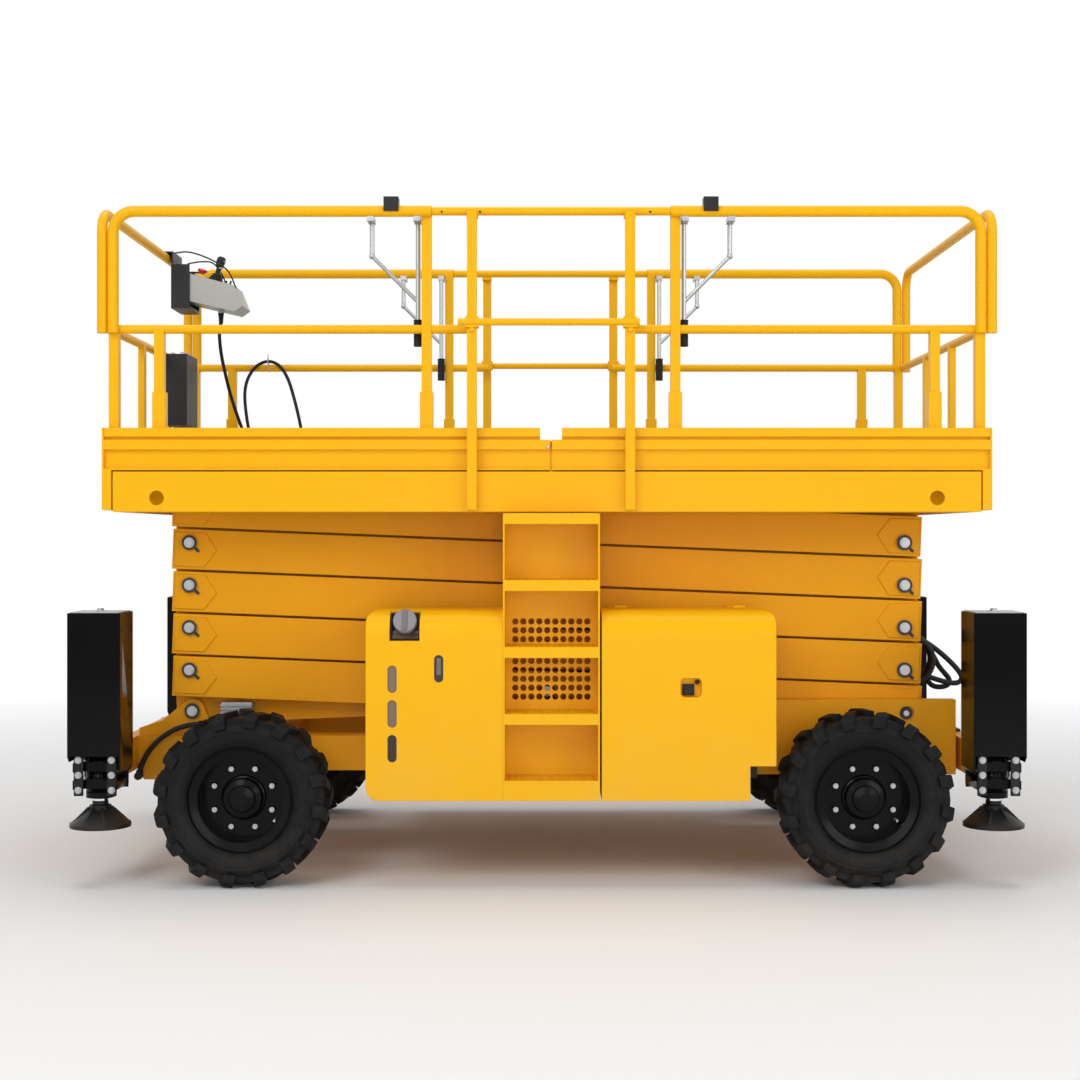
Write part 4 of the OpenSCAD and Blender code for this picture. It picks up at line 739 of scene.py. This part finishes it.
WHEEL_RADIUS = 0.385
WHEEL_Y = 0.9925
AXLE_X = {"front": -1.345, "rear": 1.405}
SIDE_SIGN = {"near": -1, "far": 1}
NUT_CIRCLE = 0.1375
NUT_COUNT = 8
VALVE_RADIUS = 0.172
VALVE_ANGLE = math.radians(-35)
STUD_FOOT, VALVE_FOOT = 0.0242, 0.003
VALVE = [(0.0, 0.0), (0.008, 0.0), (0.008, 0.010), (0.0045, 0.014), (0.0045, 0.034), (0.006, 0.036),
         (0.006, 0.046), (0.0, 0.047)]


def on_wheel(centre, radius, turn, out):
    """A place on a wheel's side, at a radius and a turn from its centre."""
    return centre + Vector((radius * math.cos(turn), out, radius * math.sin(turn)))


for end, axle_x in AXLE_X.items():
    for side, sign in SIDE_SIGN.items():
        body = f"wheel_{end}_{side}"
        centre = Vector((axle_x, sign * WHEEL_Y, WHEEL_RADIUS))
        outward = facing(centre, (0, sign, 0))
        bm = bmesh.new()
        for look in (outward, facing(centre, (0, -sign, 0))):
            for ring_radius, height, wire in ((0.303, 0.1262, 0.0055), (0.288, 0.1276, 0.0022),
                                              (0.246, 0.1085, 0.0035), (0.238, 0.1000, 0.0035)):
                add_ring(bm, look, ring_radius, height, wire)
        finish_piece(f"sidewall_rings_{end}_{side}", bm, body, "tyre")
        studs = []
        for k in range(NUT_COUNT):
            studs.append((on_wheel(centre, NUT_CIRCLE, 2 * math.pi * (k + 0.5) / NUT_COUNT, sign * STUD_FOOT),
                          (0, sign, 0)))
        bolts(f"wheel_studs_{end}_{side}", studs, body, 0.0085, 0.009, 0.0118, 0.002)
        bm = bmesh.new()
        foot = on_wheel(centre, VALVE_RADIUS, VALVE_ANGLE, sign * VALVE_FOOT)
        add_lathe(bm, VALVE, facing(foot, (0, sign, 0)), steps=14)
        finish_piece(f"tyre_valve_{end}_{side}", bm, body, "zinc")
print("wheels dressed:", len(AXLE_X) * len(SIDE_SIGN))

# %% [markdown]
# ## Grips on the push handles
# The grey push handles end in ribbed black grips.
# A bump texture would leave their outline straight, so a grip is turned from one profile with a small rib
# every few millimetres, and slips over the CAD handle.

# %% Handle grips
HANDLE_Y = 0.848
MID_RAIL_Z = 2.474
HANDLE_X = {"front_extension": -0.583, "rear_extension": 0.619}
GRIP_LOW, GRIP_HIGH = MID_RAIL_Z - 0.073, MID_RAIL_Z + 0.047
GRIP_RIBS = 12
GRIP_LENGTH = GRIP_HIGH - GRIP_LOW

profile = [(0.0, 0.0), (0.017, 0.0), (0.0205, 0.002)]
rib_pitch = (GRIP_LENGTH - 0.008) / GRIP_RIBS
for k in range(GRIP_RIBS):
    low = 0.004 + k * rib_pitch
    profile += [(0.0205, low), (0.0205, low + 0.6 * rib_pitch), (0.0185, low + 0.7 * rib_pitch),
                (0.0185, low + 0.95 * rib_pitch)]
profile += [(0.0215, GRIP_LENGTH - 0.003), (0.0215, GRIP_LENGTH), (0.0, GRIP_LENGTH)]
for body, x in HANDLE_X.items():
    bm = bmesh.new()
    for sign in (-1, 1):
        add_lathe(bm, profile, Matrix.Translation((x, sign * HANDLE_Y, GRIP_LOW)), steps=20)
    finish_piece(f"{body}_grips", bm, body, "rubber")
print("grips:", 2 * len(HANDLE_X))

# %% [markdown]
# ## Console controls
# The control box on the platform has a joystick in a rubber boot, a red stop button on a yellow ring, a few
# toggle switches and two thin hoops that guard them.
# They could be carved from primitives, but a few profile points turn a boot, a knob or a button at once.
# The hoops are tubes along short curves.

# %% Console controls
CONSOLE_Y = 0.45
SLOPE = math.radians(15.15)
PANEL_UP = Vector((math.sin(SLOPE), 0, math.cos(SLOPE)))
PANEL_EDGE = Vector((-1.870, CONSOLE_Y, 2.915))


def on_panel(along, across):
    """A place on the console's sloping top, from its upper edge."""
    return PANEL_EDGE + Vector((along * math.cos(SLOPE), across, -along * math.sin(SLOPE)))


bm = bmesh.new()
stick = facing(on_panel(0.122, 0.0), PANEL_UP)
boot = [(0.0, 0.0), (0.046, 0.0), (0.046, 0.006), (0.038, 0.010), (0.040, 0.016), (0.032, 0.022),
        (0.034, 0.028), (0.026, 0.034), (0.028, 0.040), (0.019, 0.046)]
knob = [(0.014, 0.052), (0.014, 0.080), (0.021, 0.086), (0.024, 0.110), (0.022, 0.132), (0.012, 0.140),
        (0.0, 0.141)]
add_lathe(bm, boot + knob, stick, steps=28)
finish_piece("joystick", bm, "front_extension", "rubber")
stop = facing(on_panel(0.055, -0.060), PANEL_UP)
bm = bmesh.new()
add_lathe(bm, [(0.0, 0.0), (0.034, 0.0), (0.034, 0.012), (0.028, 0.015), (0.0, 0.015)], stop, steps=28)
finish_piece("stop_ring", bm, "front_extension", "bright_yellow")
bm = bmesh.new()
add_lathe(bm, [(0.0, 0.012), (0.013, 0.012), (0.013, 0.026), (0.024, 0.030), (0.026, 0.038), (0.020, 0.044),
               (0.0, 0.046)], stop, steps=28)
finish_piece("stop_button", bm, "front_extension", "red")
bm = bmesh.new()
for along, across in ((0.045, 0.060), (0.105, 0.075), (0.165, 0.060), (0.165, -0.070), (0.200, 0.0)):
    add_lathe(bm, [(0.0, 0.0), (0.012, 0.0), (0.012, 0.004), (0.007, 0.006), (0.0055, 0.012),
                   (0.0045, 0.030), (0.0, 0.031)], facing(on_panel(along, across), PANEL_UP), steps=14)
finish_piece("toggle_switches", bm, "front_extension", "plastic")
bm = bmesh.new()
hoops = [[(-1.943, 0.345, 3.022), (-1.867, 0.345, 3.026), (-1.765, 0.345, 2.992), (-1.670, 0.345, 2.932),
          (-1.622, 0.345, 2.836)],
         [(-1.920, 0.555, 2.999), (-1.843, 0.555, 3.010), (-1.781, 0.555, 2.999), (-1.731, 0.555, 2.930),
          (-1.712, 0.555, 2.864)]]
for hoop in hoops:
    add_tube(bm, smooth_route(hoop, 6), 0.004, sides=8)
finish_piece("console_hoops", bm, "front_extension", "plastic")
print("console dressed")

# %% [markdown]
# ## Latches of the hoods
# Each hood has a paddle latch in a pressed recess of its face.
# The CAD model has the recess; the paddle, its lip and the round lock are two boxes and a turned shape,
# with a bevel for their soft edges.
# They ride on the hood's body, so they lift with it.

# %% Hood latches
LATCH_X, LATCH_Z = 0.631, 0.880
COVER_FACE_Y = 1.105
LATCH_PAN = 0.039


def add_side_box(bm, sign, low, high):
    """Adds a box given for the far side, mirrored in Y for the near side (sign -1)."""
    y0, y1 = sorted((sign * low[1], sign * high[1]))
    add_box(bm, (low[0], y0, low[2]), (high[0], y1, high[2]))


for side, sign in SIDE_SIGN.items():
    pan = COVER_FACE_Y - LATCH_PAN
    bm = bmesh.new()
    add_side_box(bm, sign, (LATCH_X - 0.036, pan - 0.001, LATCH_Z - 0.036),
                 (LATCH_X + 0.016, pan + 0.012, LATCH_Z + 0.014))
    add_side_box(bm, sign, (LATCH_X - 0.030, pan + 0.010, LATCH_Z - 0.030),
                 (LATCH_X + 0.010, pan + 0.020, LATCH_Z))
    add_lathe(bm, [(0.0, 0.0), (0.010, 0.0), (0.010, 0.016), (0.008, 0.018), (0.0, 0.018)],
              facing((LATCH_X + 0.028, sign * pan, LATCH_Z + 0.022), (0, sign, 0)), steps=18)
    finish_piece(f"hood_latch_{side}", bm, f"hood_{side}", "plastic", bevel=0.002)
print("latches: 2")

# %% [markdown]
# ## Windows and filler of the front covers
# Three upright slots and a sight gauge look through each front cover, and a grey filler cap sits in a black
# recess over a sloping tray.
# Clear windows would show an empty inside, so plain coloured plates close the slots from behind: they are
# painted shade, taupe for the dim inside behind the two upper slots and deep brown for the dark inside behind
# the lowest slot and the gauge.
# The cap is turned about its own tilted axis, and its wing is a box in the same tilted frame.

# %% Cover windows
COVER_SHEET = 0.008
SLOT_X, GAUGE_X = -0.678, -0.474
slot_back = COVER_FACE_Y - COVER_SHEET


def add_window(bm, sign, x, low, high, thick):
    """Adds a plate behind a slot of a front cover."""
    add_side_box(bm, sign, (x - 0.030, slot_back - thick, low), (x + 0.030, slot_back - 0.001, high))


for side, sign in SIDE_SIGN.items():
    bm = bmesh.new()
    # Taupe plates behind the two upper slots: painted shade of the dim inside.
    for z in (0.917, 0.765):
        add_window(bm, sign, SLOT_X, z - 0.070, z + 0.070, 0.010)
    finish_piece(f"slot_plates_painted_shade_{side}", bm, "chassis", "taupe")
    # Deep brown plates behind the lowest slot and the gauge: painted shade of the dark inside.
    bm = bmesh.new()
    add_window(bm, sign, SLOT_X, 0.543, 0.683, 0.022)
    add_window(bm, sign, GAUGE_X, 0.893, 1.033, 0.022)
    finish_piece(f"dark_slot_plates_painted_shade_{side}", bm, "chassis", "painted_shade_brown")
    bm = bmesh.new()
    add_side_box(bm, sign, (GAUGE_X - 0.010, slot_back - 0.002, 0.935),
                 (GAUGE_X + 0.010, slot_back + 0.004, 1.010))
    finish_piece(f"level_gauge_{side}", bm, "chassis", "mid_grey", bevel=0.002)
print("cover windows:", 4 * len(SIDE_SIGN))

# %% Filler
FILLER_TILT = math.radians(70)
FILLER = facing((-0.624, -1.018, 1.149), (0.0, -math.sin(FILLER_TILT), math.cos(FILLER_TILT)))
TRAY_ENDS = (-0.6805, -0.5675)
TRAY_PROFILE = ((-1.0190, 1.0935), (-1.0645, 1.0935), (-1.0350, 1.1250), (-1.0190, 1.1250))
bm = bmesh.new()
add_lathe(bm, [(0.0, 0.037), (0.0495, 0.037), (0.0525, 0.040), (0.0525, 0.070), (0.0495, 0.0745),
               (0.0, 0.0748)], FILLER, steps=36)
finish_piece("filler_cap_skin", bm, "chassis", "cap_grey")
bm = bmesh.new()
add_box(bm, (-0.011, -0.045, 0.073), (0.011, 0.045, 0.0810), FILLER)
finish_piece("filler_wing", bm, "chassis", "mid_grey", bevel=0.0015)
bm = bmesh.new()
ramp = [[bm.verts.new((x, y, z)) for y, z in TRAY_PROFILE] for x in TRAY_ENDS]
bm.faces.new(ramp[0])
bm.faces.new(reversed(ramp[1]))
for k in range(len(TRAY_PROFILE)):
    bm.faces.new((ramp[0][k], ramp[0][k - 1], ramp[1][k - 1], ramp[1][k]))
finish_piece("filler_tray", bm, "chassis", "taupe")
print("filler made")

# %% [markdown]
# ## Under the hoods
# The far hood covers the engine and the near one the oil tank, its valve block and the battery.
# They could be left out, but an open hood would then show an empty pod.
# They show only then, so they stay simple: boxes, turned shapes and a few hoses.

# %% Engine dressing
bm = bmesh.new()
add_box(bm, (0.40, 0.80, 1.070), (0.80, 0.96, 1.105))
for k in range(6):
    add_box(bm, (0.38 + 0.075 * k, 1.018, 0.60), (0.40 + 0.075 * k, 1.034, 0.78))
finish_piece("rocker_cover", bm, "chassis", "alloy", bevel=0.004)
bm = bmesh.new()
add_lathe(bm, [(0.0, 0.0), (0.046, 0.0), (0.050, 0.006), (0.050, 0.200), (0.042, 0.210), (0.042, 0.236),
               (0.0, 0.238)], facing((0.44, 0.885, 1.153), (1, 0, 0)))
add_lathe(bm, [(0.0, 0.0), (0.038, 0.0), (0.038, 0.008), (0.036, 0.030), (0.034, 0.036), (0.0, 0.036)],
          facing((0.78, 1.023, 0.72), (0, 1, 0)))
finish_piece("engine_filters", bm, "chassis", "plastic")
bm = bmesh.new()
air_hose = [(0.66, 0.885, 1.153), (0.74, 0.885, 1.150), (0.80, 0.88, 1.12), (0.82, 0.87, 1.06)]
fuel_hose = [(0.40, 1.02, 0.96), (0.42, 1.045, 0.93), (0.50, 1.050, 0.84), (0.56, 1.045, 0.80),
             (0.60, 1.02, 0.79)]
add_tube(bm, smooth_route(air_hose, 6), 0.022)
add_tube(bm, smooth_route(fuel_hose, 6), 0.011)
finish_piece("engine_hoses", bm, "chassis", "rubber")
print("engine dressed")

# %% Oil tank, valves and battery
bm = bmesh.new()
add_box(bm, (0.31, -1.01, 0.461), (0.61, -0.76, 0.84))
finish_piece("oil_tank", bm, "chassis", "black", bevel=0.012)
bm = bmesh.new()
add_box(bm, (0.35, -0.95, 0.839), (0.57, -0.82, 0.91))
add_lathe(bm, [(0.0, 0.0), (0.035, 0.0), (0.035, 0.018), (0.028, 0.022), (0.028, 0.05), (0.0, 0.05)],
          facing((0.33, -1.005, 0.78), (0, -1, 0)), steps=20)
finish_piece("valve_block", bm, "chassis", "alloy", bevel=0.003)
bm = bmesh.new()
for k in range(5):
    for y in (-0.915, -0.855):
        add_lathe(bm, [(0.0, 0.0), (0.017, 0.0), (0.017, 0.055), (0.010, 0.058), (0.010, 0.072),
                       (0.0, 0.073)], facing((0.378 + 0.041 * k, y, 0.909), (0, 0, 1)), steps=14)
add_box(bm, (0.68, -0.94, 0.461), (0.94, -0.77, 0.655))
for k in range(3):
    add_box(bm, (0.70 + 0.075 * k, -0.90, 0.650), (0.745 + 0.075 * k, -0.81, 0.663))
finish_piece("coils_and_battery", bm, "chassis", "plastic", bevel=0.002)
bm = bmesh.new()
for k, end in enumerate((0.72, 0.78, 0.84)):
    port_y = -0.86 - 0.03 * k
    route = [(0.565, port_y, 0.875), (0.62, port_y, 0.88), (end - 0.04, -0.84, 0.84), (end, -0.80, 0.76),
             (end, -0.765, 0.69)]
    add_tube(bm, smooth_route(route, 6), 0.010)
finish_piece("valve_hoses", bm, "chassis", "rubber")
print("pods dressed")

# %% [markdown]
# ## Small fittings of the platform
# Black discs on the slim rails are painted shade for their drilled holes, a sheet closes the split between the
# two floors from inside, and a few manuals stand in the document holder.
# Each is small and plain, so boxes, turned heads and the bolt tree are enough.

# %% Platform fittings
SLIM_FACE_Y = 0.9388
TOP_RAIL_Z = 3.0
RAIL_HOLE_X = (-0.471, -0.300, 0.462)
# Black discs over the rails' drilled holes: painted shade of the holes.
places = [((x, side * SLIM_FACE_Y, TOP_RAIL_Z - 0.006), (0, side, 0)) for x in RAIL_HOLE_X for side in (-1, 1)]
bolts("rail_holes_painted_shade", places, "platform", 0.0035, 0.0012, 0.0048, 0.0012, "plastic")

bm = bmesh.new()
for side in (-1, 1):
    add_side_box(bm, side, (-0.020, 0.9145, 1.848), (0.050, 0.9178, 1.970))
finish_piece("split_sheet", bm, "front_extension", "yellow")
bm = bmesh.new()
for side in (-1, 1):
    add_lathe(bm, [(0.0, 0.0), (0.0075, 0.0), (0.0075, 0.003), (0.005, 0.0055), (0.0, 0.006)],
              facing((0.005, side * 0.9435, 1.940), (0, side, 0)), steps=18)
finish_piece("split_clips", bm, "front_extension", "zinc")

HOLDER_X = -1.896
bm = bmesh.new()
for k, (thick, top) in enumerate(((0.016, 2.486), (0.010, 2.478), (0.020, 2.490))):
    back = HOLDER_X - 0.034 + 0.024 * k
    add_box(bm, (back, 0.180 + 0.006 * k, 2.129), (back + thick, 0.395, top))
finish_piece("manuals", bm, "front_extension", "white", bevel=0.001)
print("rail plugs:", len(places))

# %% [markdown]
# ## Deck tread plate
# The floors are steel with a pattern of raised bars, turned one way and the other in turn.
# A bump texture would look the same from far off, but the meshes themselves would stay flat.
# So a grid of points with an alternating turn makes the bars in Geometry Nodes.


# %% Geometry Nodes: tread plate
def make_tread_tree():
    """A sheet with raised bars on a grid, every second one turned by a right angle."""
    tree = bpy.data.node_groups.new("tread_plate", "GeometryNodeTree")
    for name, kind, default in (("Width", "NodeSocketFloat", 1.0), ("Length", "NodeSocketFloat", 1.0),
                                ("Columns", "NodeSocketInt", 20), ("Rows", "NodeSocketInt", 20),
                                ("Bar Length", "NodeSocketFloat", 0.03),
                                ("Sheet", "NodeSocketFloat", 0.002)):
        tree.interface.new_socket(name, in_out="INPUT", socket_type=kind).default_value = default
    tree.interface.new_socket("Centre", in_out="INPUT", socket_type="NodeSocketVector")
    tree.interface.new_socket("Material", in_out="INPUT", socket_type="NodeSocketMaterial")
    tree.interface.new_socket("Geometry", in_out="OUTPUT", socket_type="NodeSocketGeometry")
    source = tree.nodes.new("NodeGroupInput")
    sink = tree.nodes.new("NodeGroupOutput")
    link = tree.links.new

    def shrunk(name):
        made = tree.nodes.new("ShaderNodeMath")
        made.operation = "MULTIPLY"
        link(source.outputs[name], made.inputs[0])
        made.inputs[1].default_value = 0.97
        return made.outputs[0]

    grid = tree.nodes.new("GeometryNodeMeshGrid")
    link(shrunk("Width"), grid.inputs["Size X"])
    link(shrunk("Length"), grid.inputs["Size Y"])
    link(source.outputs["Columns"], grid.inputs["Vertices X"])
    link(source.outputs["Rows"], grid.inputs["Vertices Y"])
    bar = tree.nodes.new("GeometryNodeMeshCube")
    size = tree.nodes.new("ShaderNodeCombineXYZ")
    link(source.outputs["Bar Length"], size.inputs["X"])
    size.inputs["Y"].default_value = 0.006
    size.inputs["Z"].default_value = 0.003
    link(size.outputs[0], bar.inputs["Size"])
    index = tree.nodes.new("GeometryNodeInputIndex")
    odd = tree.nodes.new("ShaderNodeMath")
    odd.operation = "MODULO"
    link(index.outputs[0], odd.inputs[0])
    odd.inputs[1].default_value = 2.0
    turn = tree.nodes.new("ShaderNodeMath")
    turn.operation = "MULTIPLY_ADD"
    link(odd.outputs[0], turn.inputs[0])
    turn.inputs[1].default_value = math.radians(90)
    turn.inputs[2].default_value = math.radians(45)
    angles = tree.nodes.new("ShaderNodeCombineXYZ")
    link(turn.outputs[0], angles.inputs["Z"])
    rotation = tree.nodes.new("FunctionNodeEulerToRotation")
    link(angles.outputs[0], rotation.inputs[0])
    place = tree.nodes.new("GeometryNodeInstanceOnPoints")
    link(grid.outputs["Mesh"], place.inputs["Points"])
    link(bar.outputs["Mesh"], place.inputs["Instance"])
    link(rotation.outputs[0], place.inputs["Rotation"])
    sheet = tree.nodes.new("GeometryNodeMeshCube")
    sheet_size = tree.nodes.new("ShaderNodeCombineXYZ")
    link(source.outputs["Width"], sheet_size.inputs["X"])
    link(source.outputs["Length"], sheet_size.inputs["Y"])
    link(source.outputs["Sheet"], sheet_size.inputs["Z"])
    link(sheet_size.outputs[0], sheet.inputs["Size"])
    join = tree.nodes.new("GeometryNodeJoinGeometry")
    link(place.outputs[0], join.inputs[0])
    link(sheet.outputs["Mesh"], join.inputs[0])
    move = tree.nodes.new("GeometryNodeTransform")
    real = tree.nodes.new("GeometryNodeRealizeInstances")
    link(join.outputs[0], real.inputs[0])
    link(real.outputs[0], move.inputs["Geometry"])
    link(source.outputs["Centre"], move.inputs["Translation"])
    paint = tree.nodes.new("GeometryNodeSetMaterial")
    link(move.outputs[0], paint.inputs["Geometry"])
    link(source.outputs["Material"], paint.inputs["Material"])
    link(paint.outputs[0], sink.inputs[0])
    return tree


tread_tree = make_tread_tree()
DECK_TOP = 1.846
for name, body, x0, x1 in (("front_tread", "front_extension", -1.935, 0.010),
                           ("rear_tread", "rear_extension", 0.026, 1.935)):
    values = {"Width": x1 - x0, "Length": 1.700, "Columns": 47, "Rows": 41, "Bar Length": 0.028,
              "Sheet": 0.002, "Centre": ((x0 + x1) / 2, 0.0, DECK_TOP + 0.0011)}
    run_tree(name, tread_tree, [(0, 0, 0)], [(0, 0, 1)], values, body, "tread")

STEP_TOP, STEP_PITCH, STEP_COUNT = 1.644, 0.293, 5
LADDER_X = 0.0195
for side, sign in SIDE_SIGN.items():
    for k in range(STEP_COUNT):
        values = {"Width": 0.370, "Length": 0.170, "Columns": 15, "Rows": 7, "Bar Length": 0.020,
                  "Sheet": 0.001, "Centre": (LADDER_X, sign * 1.002, STEP_TOP - k * STEP_PITCH + 0.0006)}
        run_tree(f"step_tread_{side}_{k}", tread_tree, [(0, 0, 0)], [(0, 0, 1)], values, "chassis",
                 "yellow")
print("tread plates laid")

# %% [markdown]
# ## Light, floor and world
# A pale floor and a pale world give the plain studio ground.
# An environment picture could light it too, but four large soft lamps are easier to set at a plain level.
# The floor fades to white far from the lift for the camera alone, so it throws no extra light on the paint.

# %% Studio
scene.view_settings.view_transform = "Standard"


def area_lamp(name, place, target, size, power):
    """A square soft lamp that looks at a target."""
    data = bpy.data.lights.new(name, "AREA")
    data.shape = "SQUARE"
    data.size = size
    data.energy = power
    lamp = add_object(name, data)
    lamp.location = place
    lamp.rotation_euler = (Vector(target) - Vector(place)).to_track_quat("-Z", "Y").to_euler()


area_lamp("key_lamp", (-5.0, -9.0, 8.0), (0, 0, 1.2), 6.0, 450)
area_lamp("fill_lamp", (7.0, -8.0, 4.0), (0, 0, 1.2), 6.0, 245)
area_lamp("low_lamp", (0.5, -9.5, 1.0), (0, 0, 0.7), 4.0, 85)
area_lamp("top_lamp", (0.0, 2.0, 20.0), (0, 0, 1.0), 14.0, 1520)

world = bpy.data.worlds.new("studio_world")
scene.world = world
world.use_nodes = True
tree = world.node_tree
background = tree.nodes["Background"]
paths = tree.nodes.new("ShaderNodeLightPath")
seen = math_node(tree, "MAXIMUM", paths.outputs["Is Glossy Ray"], paths.outputs["Is Transmission Ray"])
seen = math_node(tree, "MAXIMUM", paths.outputs["Is Camera Ray"], seen)
background.inputs["Color"].default_value = (1.0, 1.0, 1.0, 1.0)
tree.links.new(map_range(tree, seen, 0.0, 1.0, 0.42, 1.0), background.inputs["Strength"])

FLOOR_SIDE = 60.0
bm = bmesh.new()
bmesh.ops.create_grid(bm, x_segments=4, y_segments=4, size=FLOOR_SIDE / 2)
floor_mesh = mesh_from("studio_floor", bm)
floor = add_object("studio_floor", floor_mesh)
floor_finish = bpy.data.materials.new("pale_floor")
floor_finish.use_nodes = True
tree = floor_finish.node_tree
paint = tree.nodes["Principled BSDF"]
paint.inputs["Base Color"].default_value = (0.80, 0.80, 0.80, 1.0)
paint.inputs["Roughness"].default_value = 0.9
place = tree.nodes.new("ShaderNodeTexCoord")
reach = tree.nodes.new("ShaderNodeVectorMath")
reach.operation = "LENGTH"
tree.links.new(place.outputs["Object"], reach.inputs[0])
fade = map_range(tree, reach.outputs["Value"], 3.0, 9.0, 0.0, 1.0)
paths = tree.nodes.new("ShaderNodeLightPath")
fade = math_node(tree, "MULTIPLY", fade, paths.outputs["Is Camera Ray"])
glow = add_node(tree, "ShaderNodeEmission", Strength=1.0)
glow.inputs["Color"].default_value = (1.0, 1.0, 1.0, 1.0)
blend = tree.nodes.new("ShaderNodeMixShader")
tree.links.new(fade, blend.inputs[0])
tree.links.new(paint.outputs[0], blend.inputs[1])
tree.links.new(glow.outputs[0], blend.inputs[2])
tree.links.new(blend.outputs[0], tree.nodes["Material Output"].inputs["Surface"])
floor_mesh.materials.append(floor_finish)
print("lamps:", len(bpy.data.lights))
